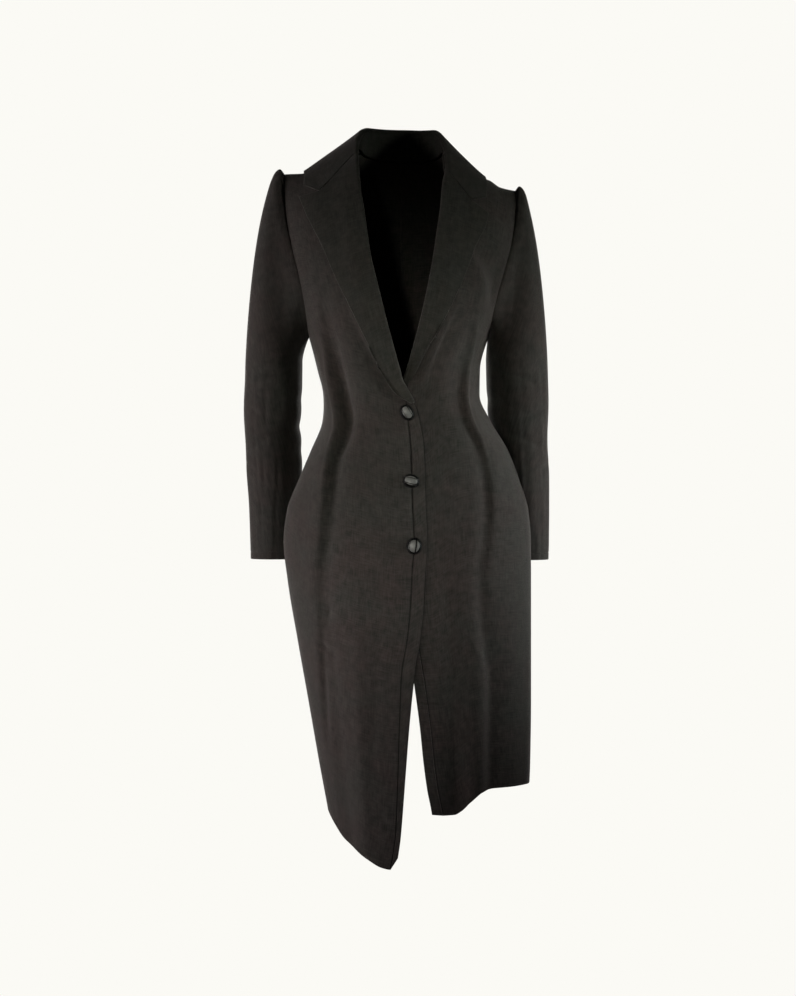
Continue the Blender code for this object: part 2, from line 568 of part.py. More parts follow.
ROLL_STEPS = (150.0, 115.0, 80.0, 40.0, 0.0)
LAPEL_CROWDING = 1.15
LAPEL_ACROSS = (0.06, 0.20, 0.38, 0.58, NOTCH_SHARE, 0.90, 1.0)


def lapel_rows(side, count):
    """Heights up the roll line and the matching places on the outer edge, in the picture plane."""
    edge = np.array(LAPEL_EDGE[side])
    low, high = edge[0, 0], edge[-1, 0]
    start = GORGE_START[side][1]
    t = np.linspace(0.0, 1.0, count)
    q = t * (LAPEL_CROWDING - (LAPEL_CROWDING - 1) * t)
    height_roll = low + (start - low) * q
    height_edge = low + (high - low) * q
    return q, height_roll, height_edge, curve(LAPEL_EDGE[side], height_edge)


def lapel(name, side, count=17):
    q, height_roll, height_edge, x_edge = lapel_rows(side, count)
    height_roll[-1] -= SEAM_GAP / 2
    middle, normal, into = roll_frame(side, height_roll)
    outer = [roll_points(middle, normal, into, ROLL_RADIUS, degrees) for degrees in ROLL_STEPS]
    inner = [roll_points(middle, normal, into, ROLL_RADIUS - TURNED_CLOTH, degrees) for degrees in ROLL_STEPS]
    x_roll = edge_x(side, height_roll) + side * TURNED_EDGE_INSET
    start = np.array([edge_x(side, GORGE_START[side][1]) + side * TURNED_EDGE_INSET, GORGE_START[side][1]])
    notch, point = np.array(NOTCH[side]), np.array([x_edge[-1], height_edge[-1]])
    for across in LAPEL_ACROSS:
        x = x_roll + (x_edge - x_roll) * across
        height = height_roll + (height_edge - height_roll) * across
        if across <= NOTCH_SHARE:
            top = start + (notch - start) * across / NOTCH_SHARE
        else:
            top = notch + (point - notch) * (across - NOTCH_SHARE) / (1 - NOTCH_SHARE)
        bend = q ** 5
        x = x + (top[0] - (start + (point - start) * across)[0]) * bend
        height = height + (top[1] - (start + (point - start) * across)[1]) * bend - SEAM_GAP * bend
        from_roll = np.abs(x - x_roll)
        lift = LAPEL_LIFT * bell(from_roll - LAPEL_LIFT_WIDTH, LAPEL_LIFT_WIDTH / 2) * (1 - bend)
        under, out = front_surface(side, x, height, LAYER_GAP + lift)
        inner.append(under)
        outer.append(under + out * TURNED_CLOTH)
    outer = np.stack(outer, axis=1)
    inner = np.stack(inner, axis=1)
    wall(name, outer, inner, "turned_cloth", flip=(side < 0))


lapel("lapel_right", RIGHT)
lapel("lapel_left", LEFT)


# Collar: a stand up the neck, a fold, and a leaf that falls to the shoulders
def shoulder_surface(x, degrees):
    """A point over the shoulder (0 degrees at the front, 90 on the seam, 180 at the back) and the way out."""
    def place(x, degrees):
        turn = math.radians(degrees)
        height = CHEST_HEIGHT + (float(curve(SHOULDER, x)) - CHEST_HEIGHT) * math.sin(turn)
        face = FRONT if degrees < 90.0 else BACK
        middle, half = middle_and_half(height)
        across = rounded(np.clip((x - middle) / half, -1, 1), squareness(face, height))
        closing = rounded(math.sin(turn), SHOULDER_SQUARENESS)
        return np.array([x, face * float(depth(face, height) * across * closing), height])
    step_x = place(x + 0.0005, degrees) - place(x - 0.0005, degrees)
    step_turn = place(x, degrees + 0.2) - place(x, degrees - 0.2)
    return place(x, degrees), unit(np.cross(step_x, step_turn))


def clear_of_shoulders(places, gap):
    """Moves places that are nearer to the shoulders than the gap, or inside them, out to it."""
    def outside(places):
        x, y, height = places[:, 0], places[:, 1], places[:, 2]
        middle, half = middle_and_half(height)
        across = rounded(np.clip((x - middle) / half, -1, 1), squareness(np.sign(y), height))
        reach = depth(np.sign(y), height) * across
        up = np.maximum((height - CHEST_HEIGHT) / (curve(SHOULDER, x) - CHEST_HEIGHT), 0.0)
        out = np.abs(y) / reach
        return (out ** SHOULDER_SQUARENESS + up ** SHOULDER_SQUARENESS) ** (1 / SHOULDER_SQUARENESS) - 1
    for _ in range(3):
        steps = [outside(places + step) - outside(places - step) for step in np.eye(3) * 0.0004]
        slope = np.stack(steps, axis=-1) / 0.0008
        steep = np.linalg.norm(slope, axis=-1)
        near = gap - outside(places) / steep
        places = places + unit(slope) * (np.logaddexp(0.0, near / LIFT_SOFTNESS) * LIFT_SOFTNESS)[:, None]
    return places


NECK_CORNER = 0.70
NECK_HALF = 0.0715
LIFT_SOFTNESS = 0.0004
STAND_STEPS = (0.0, 0.55)
STAND_TURNS = (168.0, 164.0)
FOLD_STEPS = (180.0, 135.0, 90.0, 45.0, 0.0)
LEAF_STEPS = (0.14, 0.30, 0.46, 0.62, NOTCH_SHARE, 0.90, 1.0)
LEAF_START, LEAF_RISE, LEAF_SWELL = 0.20, 0.12, 0.04
LEAF_END, LEAF_LAND = 0.30, 0.02
COLLAR_SHARES = (0.0, 0.11, 0.22, 0.33, 0.45, 0.57, 0.68, 0.77, 0.85, 0.91, 0.96)


def neck_seam(share):
    """The panels' neck edge, on their outer face, and the way out of them."""
    side = LEFT if share > 0 else RIGHT
    s = abs(share) / NECK_CORNER
    if s <= 1.0:
        x = side * NECK_HALF * math.sin(math.radians(90.0) * s)
        return shoulder_surface(x, 180.0 - float(curve(BACK_NECK, abs(x))))
    top, low = float(curve(SHOULDER, side * NECK_HALF)), GORGE_START[side][1]
    height = np.array([top + (low - top) * (s - 1) / (1 / NECK_CORNER - 1)])
    place, out = front_surface(side, seam_x(side, height), height)
    return place[0], out[0]


def front_end_of_collar(side):
    """The collar's section along the gorge: round the front's edge and on to the collar's point."""
    start_height = GORGE_START[side][1] + SEAM_GAP
    middle, normal, into = (part[0] for part in roll_frame(side, np.array([start_height])))
    inside = ROLL_RADIUS - TURNED_CLOTH
    outer = [roll_points(middle, normal, into, ROLL_RADIUS, degrees) for degrees in STAND_TURNS + ROLL_STEPS]
    inner = [roll_points(middle, normal, into, inside, degrees) for degrees in STAND_TURNS + ROLL_STEPS]
    start = np.array([edge_x(side, start_height) + side * TURNED_EDGE_INSET, start_height])
    notch, point = np.array(NOTCH[side]), np.array(COLLAR_POINT[side])
    for across in LAPEL_ACROSS:
        if across <= NOTCH_SHARE:
            place = start + (notch - start) * across / NOTCH_SHARE
        else:
            place = notch + (point - notch) * (across - NOTCH_SHARE) / (1 - NOTCH_SHARE)
        under, out = front_surface(side, np.array([place[0]]), np.array([place[1] + SEAM_GAP]), COLLAR_GAP)
        inner.append(under[0])
        outer.append(under[0] + out[0] * TURNED_CLOTH)
    return np.array(outer), np.array(inner)


def fold_rows():
    """The fold's table with both ends of the fold, where it runs on into the lapels' roll lines."""
    rows = list(COLLAR_FOLD)
    for side in (RIGHT, LEFT):
        height = np.array([GORGE_START[side][1] + SEAM_GAP])
        middle, normal, into = (part[0] for part in roll_frame(side, height))
        rows.append((float(side), *(middle - into * ROLL_RADIUS), *normal))
    return rows


def collar_section(share, rows):
    """One section across the collar, from the neck seam over the fold to the outer edge."""
    def row_at(share, columns):
        return np.array([float(curve(rows, share, k)) for k in columns])

    step = 0.01
    fold = row_at(share, (1, 2, 3))
    outward = row_at(share, (4, 5, 6))
    along = unit(row_at(share + step, (1, 2, 3)) - row_at(share - step, (1, 2, 3)))
    outward = unit(outward - along * float(outward @ along))
    upward = np.cross(along, outward)
    middle = fold - upward * ROLL_RADIUS
    seam, seam_out = neck_seam(share)
    seam_along = neck_seam(share + step)[0] - neck_seam(share - step)[0]
    into = unit(np.cross(seam_out, seam_along))
    outer, inner = [], []
    for radius, line in ((ROLL_RADIUS, outer), (ROLL_RADIUS - TURNED_CLOTH, inner)):
        top = middle - outward * radius
        foot = seam - seam_out * CLOTH - into * (NECK_GAP + radius - ROLL_RADIUS + TURNED_CLOTH)
        line.extend(foot + (top - foot) * step for step in STAND_STEPS)
        for degrees in FOLD_STEPS:
            turn = math.radians(degrees)
            line.append(middle + radius * (outward * math.cos(turn) + upward * math.sin(turn)))
    end, end_out = shoulder_surface(float(curve(COLLAR_EDGE, share)), float(curve(COLLAR_EDGE, share, 2)))
    end = end + end_out * (COLLAR_GAP + TURNED_CLOTH)
    start = outer[-1]
    reach = float(np.linalg.norm(end - start))
    first = start + (end - start) * LEAF_START - upward * reach * LEAF_RISE + outward * reach * LEAF_SWELL
    last = end + (start - end) * LEAF_END + end_out * reach * LEAF_LAND
    leaf, ways_out = [], []
    for s in LEAF_STEPS:
        r = 1 - s
        place = r ** 3 * start + 3 * s * r * r * first + 3 * s * s * r * last + s ** 3 * end
        slope = 3 * r * r * (first - start) + 6 * s * r * (last - first) + 3 * s * s * (end - last)
        out = unit(outward - slope * float(outward @ slope) / float(slope @ slope))
        out = unit(out * (1 - s) + end_out * s)
        leaf.append(place - out * TURNED_CLOTH)
        ways_out.append(out)
    leaf = clear_of_shoulders(np.array(leaf), COLLAR_GAP)
    inner.extend(leaf)
    outer.extend(leaf + np.array(ways_out) * TURNED_CLOTH)
    return np.array(outer), np.array(inner)


def collar():
    rows = fold_rows()
    shares = [-share for share in COLLAR_SHARES[:0:-1]] + list(COLLAR_SHARES)
    sections = [front_end_of_collar(RIGHT)]
    sections.extend(collar_section(share, rows) for share in shares)
    sections.append(front_end_of_collar(LEFT))
    outer = np.stack([section[0] for section in sections], axis=1)
    inner = np.stack([section[1] for section in sections], axis=1)
    wall("collar", outer, inner, "turned_cloth", flip=False)


collar()


# Sleeves: a cap from the armhole to the top of the arm, then a tube to the cuff
def armhole_points(side, degrees):
    """The armhole's loop, 0 at the shoulder, 90 at the front, 180 at the underarm and 270 at the back."""
    down = np.where(degrees <= 180.0, degrees, 360.0 - degrees)
    places = {}
    for face in (FRONT, BACK):
        bottom = curve(HEM[side, face], 1.0)
        lowest = (UNDERARM_HEIGHT - bottom) / (CHEST_HEIGHT - bottom) * CHEST_ROW
        fall = (1 - np.cos(np.radians(down))) / 2
        places[face] = np.stack(panel_place(side, face, 1.0, 1 - (1 - lowest) * fall), axis=-1)
    return np.where((degrees <= 180.0)[..., None], places[FRONT], places[BACK])


def sleeve_ring(side, degrees, height):
    turn = np.radians(degrees)
    centre_x, centre_y, half_x, half_y = (curve(SLEEVE[side], height, k) for k in (1, 2, 3, 4))
    across = centre_x + side * half_x * np.cos(turn)
    return np.stack(np.broadcast_arrays(across, centre_y - half_y * np.sin(turn), height), axis=-1)


def sleeve_surface(side, degrees, share):
    """Places on the sleeve's outer face: degrees round from the shoulder, and a share of the way down."""
    degrees, share = np.broadcast_arrays(degrees % 360.0, share)
    turn = np.radians(degrees)
    down = np.where(degrees <= 180.0, degrees, 360.0 - degrees)
    arm_top, cuff = (pick(row[0] for row in SLEEVE[side]) for pick in (max, min))
    # The tube, with its creases at the elbow
    s = np.clip((share - SLEEVE_CAP_SHARE) / (1 - SLEEVE_CAP_SHARE), 0.0, 1.0)
    height = arm_top + (cuff - arm_top) * s
    tube = sleeve_ring(side, degrees, height)
    inward = np.stack([-side * np.cos(turn), np.sin(turn), 0 * turn], axis=-1)
    for at, deep, centre, spread in ELBOW_CREASES:
        round_it = (degrees - centre + 180.0) % 360.0 - 180.0
        slant = at + CREASE_SLANT * np.sin(np.radians(round_it))
        tube = tube + inward * (deep * bell(height - slant, CREASE_WIDTH) * bell(round_it, spread))[..., None]
    # The cap, eased over the shoulder
    s = np.clip(share / SLEEVE_CAP_SHARE, 0.0, 1.0)[..., None]
    start = armhole_points(side, degrees)
    end = sleeve_ring(side, degrees, np.full(degrees.shape, arm_top))
    below = sleeve_ring(side, degrees, np.full(degrees.shape, arm_top - 0.01))
    pull = curve(CAP_PULL[side], down, 1)
    leave = np.stack([side * pull, -CAP_FORWARD * pull * np.sin(turn), 0 * pull], axis=-1)
    arrive = unit(below - end) * curve(CAP_PULL[side], down, 2)[..., None]
    cap = ((1 + 2 * s) * (1 - s) ** 2 * start + s * (1 - s) ** 2 * leave
           + s * s * (3 - 2 * s) * end + s * s * (s - 1) * arrive)
    forward = -PUFF_FORWARD * np.sin(turn)
    away = unit(np.stack([side * PUFF_OUT + 0 * turn, forward, np.maximum(np.cos(turn), 0.0)], axis=-1))
    puff = curve(CAP_PUFF, down)[..., None] * bell(s - PUFF_AT, PUFF_WIDTH) * ease(s, 0.0, PUFF_START)
    cap = cap + away * puff
    cap[..., 0] += side * EASED_GAP * (1 - s[..., 0])
    return np.where((share >= SLEEVE_CAP_SHARE)[..., None], tube, cap)


def sleeve(name, side, round_count=16):
    turns = np.arange(round_count) * 360.0 / round_count
    cap = SLEEVE_CAP_SHARE * np.array(CAP_ROWS)
    tube = SLEEVE_CAP_SHARE + (1 - SLEEVE_CAP_SHARE) * np.linspace(0.0, 1.0, 12)[1:]
    share, degrees = np.meshgrid(np.concatenate([cap, tube]), turns, indexing="ij")
    outer = sleeve_surface(side, degrees, share)
    round_it = sleeve_surface(side, degrees + 3.0, share) - sleeve_surface(side, degrees - 3.0, share)
    low, high = np.maximum(share - 0.004, 0.0), np.minimum(share + 0.004, 1.0)
    down_it = sleeve_surface(side, degrees, high) - sleeve_surface(side, degrees, low)
    out = unit(np.cross(round_it, down_it)) * -side
    wall(name, outer, outer - out * CLOTH, "cloth", closed=True, flip=(side > 0))


sleeve("sleeve_right", RIGHT)
sleeve("sleeve_left", LEFT)


# Knot buttons on the band's seam
def button(name, x, height, length, width, turn_degrees, rings=5, spokes=16):
    foot, out = (part[0] for part in front_surface(RIGHT, np.array([x]), np.array([height])))
    around = np.radians(np.arange(0, 360, 30))
    cloth, _ = front_surface(RIGHT, x + length / 2 * np.cos(around), height + length / 2 * np.sin(around))
    foot = foot + out * (HOLLOW_ALLOWANCE * max(float(np.max((cloth - foot) @ out)), 0.0) + SEAM_GAP)
    up = unit(np.array([0.0, 0.0, 1.0]) - out * out[2])
    across = np.cross(up, out)
    turn = math.radians(turn_degrees)
    long_way = across * math.cos(turn) + up * math.sin(turn)
    short_way = up * math.cos(turn) - across * math.sin(turn)
    points, faces = [], []
    edge = BUTTON_EDGE / BUTTON_HEIGHT
    profile = [(1.0, 0.0), (BUTTON_BULGE, edge * 0.6)]
    profile += [(math.cos(a), edge + (1 - edge) * math.sin(a)) for a in np.linspace(*DOME_TURNS, rings)]
    for reach, rise in profile:
        for k in range(spokes):
            a = 2 * math.pi * k / spokes
            along = reach * length / 2 * math.cos(a)
            beside = reach * width / 2 * math.sin(a)
            lift = rise * (BUTTON_HEIGHT - GROOVE_DEPTH * float(bell(beside, GROOVE_WIDTH)))
            points.append(foot + long_way * along + short_way * beside + out * lift)
    top = len(points)
    points.append(foot + out * (BUTTON_HEIGHT - GROOVE_DEPTH))
    rows = len(profile)
    for i in range(rows - 1):
        for k in range(spokes):
            n = (k + 1) % spokes
            faces.append((i * spokes + k, i * spokes + n, (i + 1) * spokes + n, (i + 1) * spokes + k))
    for k in range(spokes):
        n = (k + 1) % spokes
        faces.append(((rows - 1) * spokes + k, (rows - 1) * spokes + n, top))
    faces.append(tuple(range(spokes - 1, -1, -1)))
    add_object(name, points, faces, "button")


for number, (x, height, length, width, turn) in enumerate(BUTTONS, start=1):
    button(f"button_{number}", x, height, length, width, turn)
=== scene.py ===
import math

import bpy
import numpy as np
from mathutils import Matrix


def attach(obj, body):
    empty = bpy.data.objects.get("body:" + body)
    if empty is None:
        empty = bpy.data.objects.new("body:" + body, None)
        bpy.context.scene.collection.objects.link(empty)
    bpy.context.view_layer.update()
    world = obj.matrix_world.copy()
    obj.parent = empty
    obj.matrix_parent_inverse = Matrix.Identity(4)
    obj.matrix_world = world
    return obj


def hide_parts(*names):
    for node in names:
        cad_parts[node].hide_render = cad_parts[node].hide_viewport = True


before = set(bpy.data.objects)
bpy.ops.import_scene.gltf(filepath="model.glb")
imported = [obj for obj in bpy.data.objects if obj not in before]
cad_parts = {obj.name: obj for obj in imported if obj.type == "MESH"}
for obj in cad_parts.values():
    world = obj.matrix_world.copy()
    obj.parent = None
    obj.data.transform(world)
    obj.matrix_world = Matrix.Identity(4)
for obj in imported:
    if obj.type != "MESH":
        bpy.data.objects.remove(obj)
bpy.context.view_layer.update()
bpy.ops.object.select_all(action="DESELECT")


# Fronts
# The two fronts are cut from one charcoal cloth, a slubbed plain weave with a faint warm cast, about 2 mm
# thick with its interfacing. A long dart shapes each waist. The wearer's right front laps over the left one,
# and both cut away below the last button. All the other pieces lie on the form that starts here.
CLOTH = 0.0020
# Torso sections: how far the cloth reaches to each side and to the front and back of the side seams
TORSO_COLUMNS = ("height", "right", "left", "front", "back")
TORSO = (
    (0.06, 0.19, 0.184, 0.08, 0.086),
    (0.0, 0.196, 0.192, 0.086, 0.096),
    (-0.063, 0.192, 0.189, 0.095, 0.104),
    (-0.126, 0.183, 0.182, 0.108, 0.107),
    (-0.17, 0.172, 0.17, 0.118, 0.105),
    (-0.205, 0.159, 0.157, 0.122, 0.101),
    (-0.245, 0.146, 0.139, 0.118, 0.095),
    (-0.3, 0.13, 0.124, 0.104, 0.084),
    (-0.34, 0.119, 0.1235, 0.095, 0.077),
    (-0.379, 0.123, 0.1405, 0.095, 0.079),
    (-0.427, 0.142, 0.169, 0.101, 0.092),
    (-0.474, 0.162, 0.187, 0.107, 0.106),
    (-0.521, 0.18, 0.201, 0.111, 0.117),
    (-0.569, 0.1855, 0.205, 0.113, 0.121),
    (-0.632, 0.179, 0.2054, 0.113, 0.118),
    (-0.727, 0.163, 0.2054, 0.112, 0.111),
    (-0.822, 0.146, 0.2054, 0.111, 0.104),
    (-0.916, 0.1295, 0.204, 0.11, 0.098),
    (-1.011, 0.112, 0.199, 0.11, 0.093),
    (-1.1, 0.098, 0.195, 0.109, 0.09),
)
# How square the round of the torso is: 2 is an ellipse. Behind, it changes with the height
FRONT_SQUARENESS = 2.2
BACK_SQUARENESS = ((0.1, 2.2), (-0.3, 2.1), (-0.42, 1.9), (-0.52, 1.75), (-0.64, 1.75), (-0.85, 1.9))
SHOULDER_SQUARENESS = 2.2
# Shoulder line, seen from the front: (across, height)
SHOULDER = ((-0.21, 0.007), (-0.18, 0.0095), (-0.158, 0.01), (-0.13, 0.019), (-0.1, 0.033), (-0.071, 0.05),
    (-0.04, 0.076), (0.0, 0.095), (0.04, 0.073), (0.071, 0.044), (0.1, 0.0205), (0.126, 0.0038),
    (0.14, -0.001), (0.156, -0.0115), (0.172, -0.0155), (0.186, -0.0175), (0.21, -0.019))
CHEST_HEIGHT, UNDERARM_HEIGHT = -0.120, -0.245
# The share of a panel's rows that lie below the chest
CHEST_ROW = 0.78
# The wearer's sides, and the faces in front of the side seams and behind them
RIGHT, LEFT = -1, 1
FRONT, BACK = -1, 1
# Each armhole, seen from the front: (height, distance from the middle)
ARMHOLE = {
    RIGHT: ((0.04, 0.188), (-0.02, 0.185), (-0.063, 0.1805), (-0.105, 0.1725), (-0.15, 0.1615),
        (-0.19, 0.153), (-0.225, 0.1478), (UNDERARM_HEIGHT, 0.146)),
    LEFT: ((0.04, 0.186), (-0.02, 0.183), (-0.063, 0.18), (-0.105, 0.1735), (-0.15, 0.1615), (-0.19, 0.15),
        (-0.225, 0.142), (UNDERARM_HEIGHT, 0.139)),
}
# Front edge and, above the top button, the roll line of the lapel: (height, across)
FRONT_EDGE = {
    RIGHT: ((0.07, -0.0675), (0.0362, -0.0671), (0.0064, -0.0651), (-0.0277, -0.0616), (-0.0605, -0.0567),
        (-0.0928, -0.0519), (-0.1269, -0.0471), (-0.1863, -0.0334), (-0.2468, -0.0183), (-0.307, -0.0015),
        (-0.3235, 0.003), (-0.336, 0.01), (-0.3605, 0.0228), (-0.3848, 0.0297), (-0.429, 0.0362),
        (-0.5203, 0.0388), (-0.566, 0.0408), (-0.6207, 0.0375), (-0.6694, 0.035), (-0.7181, 0.03),
        (-0.7607, 0.0225), (-0.84, 0.0137), (-0.916, 0.0076), (-0.977, 0.003), (-1.0225, -0.0008),
        (-1.052, -0.005), (-1.09, -0.012)),
    LEFT: ((0.05, 0.068), (0.005, 0.0684), (-0.011, 0.0649), (-0.0605, 0.0598), (-0.0928, 0.055),
        (-0.1269, 0.0502), (-0.1863, 0.0395), (-0.2468, 0.0258), (-0.307, 0.0092), (-0.345, -0.006),
        (-0.37, -0.011), (-0.43, -0.008), (-0.52, -0.002), (-0.6, 0.0), (-0.66, 0.003), (-0.72, 0.009),
        (-0.7866, 0.0198), (-0.855, 0.0289), (-0.9008, 0.0335), (-0.9464, 0.0396), (-0.977, 0.0457),
        (-1.05, 0.058)),
}
# Width of the band along each front edge, and of the turned edge above it: (height, width)
BAND_WIDTH = {
    RIGHT: ((0.1, 0.004), (-0.334, 0.004), (-0.3605, 0.014), (-0.3857, 0.019), (-0.43, 0.021),
        (-0.75, 0.0205), (-0.84, 0.0155), (-0.96, 0.01), (-1.03, 0.008), (-1.1, 0.008)),
    LEFT: ((0.1, 0.004), (-0.305, 0.004), (-0.345, 0.014), (-0.38, 0.017), (-1.1, 0.017)),
}
# Top of each band, and the heights between which the turned edge above it sets in
BAND_TOP = {RIGHT: -0.3390, LEFT: -0.3120}
TURNED_EDGE_START = {RIGHT: (-0.3660, -0.3520), LEFT: (-0.3520, -0.3380)}
TURNED_EDGE_INSET = 0.0040
# Hem, from the panel's inner seam (0) round to the side seam (1): (share, height)
HEM = {
    (RIGHT, FRONT): ((-0.06, -1.052), (-0.03, -1.064), (0.0, -1.07), (0.08, -1.068), (0.23, -1.056),
        (0.4, -1.042), (0.54, -1.031), (0.72, -1.009), (0.85, -0.998), (1.0, -0.99)),
    (LEFT, FRONT): ((-0.08, -0.9845), (0.0, -0.9865), (0.08, -0.986), (0.13, -0.98), (0.19, -0.9665),
        (0.28, -0.952), (0.42, -0.948), (0.64, -0.948), (1.0, -0.951)),
}

# Folds: a line down the panel, a ridge on it and a trough beside it towards the centre front
# (height, across, ridge, trough)
DART = {
    (RIGHT, FRONT): ((0.06, -0.125, 0.0, 0.0), (-0.12, -0.135, 0.0, 0.0), (-0.19, -0.129, 0.0005, 0.0),
        (-0.245, -0.121, 0.0022, 0.0015), (-0.296, -0.113, 0.0048, 0.0035),
        (-0.34, -0.1045, 0.0072, 0.0055), (-0.383, -0.0955, 0.008, 0.0065), (-0.412, -0.101, 0.0078, 0.006),
        (-0.445, -0.1145, 0.0062, 0.0048), (-0.493, -0.1195, 0.0048, 0.004),
        (-0.552, -0.126, 0.0038, 0.0032), (-0.635, -0.13, 0.0022, 0.0028), (-0.722, -0.122, 0.0014, 0.0024),
        (-0.815, -0.114, 0.001, 0.002), (-0.908, -0.106, 0.0006, 0.0012), (-1.07, -0.09, 0.0, 0.0)),
    (LEFT, FRONT): ((0.06, 0.125, 0.0, 0.0), (-0.12, 0.13, 0.0, 0.0), (-0.195, 0.121, 0.0005, 0.0),
        (-0.252, 0.113, 0.0022, 0.001), (-0.299, 0.1, 0.0045, 0.0018), (-0.34, 0.0965, 0.0062, 0.0024),
        (-0.378, 0.104, 0.0066, 0.0026), (-0.418, 0.124, 0.0056, 0.0024), (-0.474, 0.14, 0.0038, 0.0022),
        (-0.536, 0.143, 0.002, 0.0022), (-0.617, 0.135, 0.0008, 0.003), (-0.7, 0.138, 0.0, 0.0038),
        (-0.78, 0.15, 0.0, 0.005), (-0.88, 0.15, 0.0, 0.0058), (-1.05, 0.15, 0.0, 0.006)),
}
# Widths of the ridge on either side of its line, and the trough's distance and width
RIDGE_TO_CENTRE, RIDGE_TO_SIDE = 0.0068, 0.0180
TROUGH_AT, TROUGH_WIDTH = 0.0132, 0.0100
# Softer folds: panel, width, and a line down the panel: (height, across, ridge)
SOFT_FOLDS = [
    ((LEFT, FRONT), 0.018, ((-0.54, 0.118, 0.0), (-0.66, 0.116, 0.0025), (-0.8, 0.117, 0.005),
        (-1.05, 0.116, 0.0075))),
    ((RIGHT, FRONT), 0.026, ((-0.56, -0.06, 0.0), (-0.72, -0.066, 0.0025), (-0.9, -0.062, 0.0035),
        (-1.08, -0.05, 0.003))),
    ((RIGHT, FRONT), 0.014, ((-0.82, -0.088, 0.0), (-0.93, -0.086, -0.0018), (-1.08, -0.074, -0.003))),
    ((LEFT, FRONT), 0.02, ((-0.6, 0.066, 0.0), (-0.76, 0.074, -0.0028), (-1.05, 0.086, -0.0045))),
]
# The left front lies under the right one: how deep, down the coat: (height, depth)
UNDERLAP = ((-1.100, 0.0034), (-0.480, 0.0034), (-0.370, 0.0090), (-0.290, 0.0098), (-0.120, 0.0))
UNDERLAP_REACH, UNDERLAP_FADE = 0.010, 0.060


def curve(rows, at, column=1):
    """The smooth curve through (position, value) rows, level beyond its ends."""
    table = np.array(sorted(rows), float)
    knots, values = table[:, 0], table[:, column]
    rise = np.diff(values) / np.diff(knots)
    slopes = np.concatenate([rise[:1], np.zeros(len(rise) - 1), rise[-1:]])
    for k in range(1, len(rise)):
        if rise[k - 1] * rise[k] > 0:
            slopes[k] = 2 * rise[k - 1] * rise[k] / (rise[k - 1] + rise[k])
    at = np.clip(at, knots[0], knots[-1])
    low = np.clip(np.searchsorted(knots, at) - 1, 0, len(knots) - 2)
    span = knots[low + 1] - knots[low]
    s = (at - knots[low]) / span
    start = (1 + 2 * s) * (1 - s) ** 2 * values[low] + s * (1 - s) ** 2 * span * slopes[low]
    end = s * s * (3 - 2 * s) * values[low + 1] + s * s * (s - 1) * span * slopes[low + 1]
    return start + end


def ease(at, start, end):
    """0 before start, 1 after end, and smooth between them."""
    s = np.clip((at - start) / (end - start), 0.0, 1.0)
    return s * s * (3 - 2 * s)


def bell(distance, width):
    """1 at no distance, falling off smoothly over the width."""
    return np.exp(-((distance / width) ** 2))


def unit(vectors):
    """The same directions, each with a length of one."""
    return vectors / np.maximum(np.linalg.norm(vectors, axis=-1, keepdims=True), 1e-12)


def rounded(share, squareness):
    """The other coordinate of a squared circle, keeping its sign past the quarter."""
    return np.maximum(1 - np.abs(share) ** squareness, 0.0) ** (1 / squareness)


def middle_and_half(height):
    """The middle of the torso at a height, seen from the front, and half its width."""
    right = curve(TORSO, height, TORSO_COLUMNS.index("right"))
    left = curve(TORSO, height, TORSO_COLUMNS.index("left"))
    return (left - right) / 2, (left + right) / 2


def depth(face, height):
    """How far the torso reaches from the side seams to the front or back."""
    front = curve(TORSO, height, TORSO_COLUMNS.index("front"))
    back = curve(TORSO, height, TORSO_COLUMNS.index("back"))
    return np.where(face < 0, front, back)


def squareness(face, height):
    """How square the torso's round is at a height, in front of the side seams or behind them."""
    return np.where(face < 0, FRONT_SQUARENESS, curve(BACK_SQUARENESS, height))


def over_shoulder(x, height):
    """How far the surface has closed in towards the shoulder seam at a height: 1 at the chest, 0 on it."""
    top = curve(SHOULDER, x)
    return rounded(np.clip((height - CHEST_HEIGHT) / (top - CHEST_HEIGHT), 0.0, 1.0), SHOULDER_SQUARENESS)


def torso_y(face, x, height):
    """The plain torso's surface, in front of the side seams or behind them."""
    middle, half = middle_and_half(height)
    across = np.clip((x - middle) / half, -1.0, 1.0)
    return face * depth(face, height) * rounded(across, squareness(face, height)) * over_shoulder(x, height)


def edge_x(side, height):
    """Where the front edge or the roll line lies."""
    return curve(FRONT_EDGE[side], height)


def seam_x(side, height):
    """Where the front panel starts: the band's seam, or the turned edge under the lapel."""
    return edge_x(side, height) + side * curve(BAND_WIDTH[side], height)


def inner_x(side, face, height):
    """Where a panel begins: a front at its band or turned edge, a back at the centre seam or the vent."""
    if face == FRONT:
        return seam_x(side, height)
    return curve(BACK_SEAM, height, 1) + side * curve(BACK_SEAM, height, 2)


# Height and distance from the middle depend on each other, so they are settled in rounds
SETTLING_ROUNDS, FIRST_GUESS = 14, 0.12


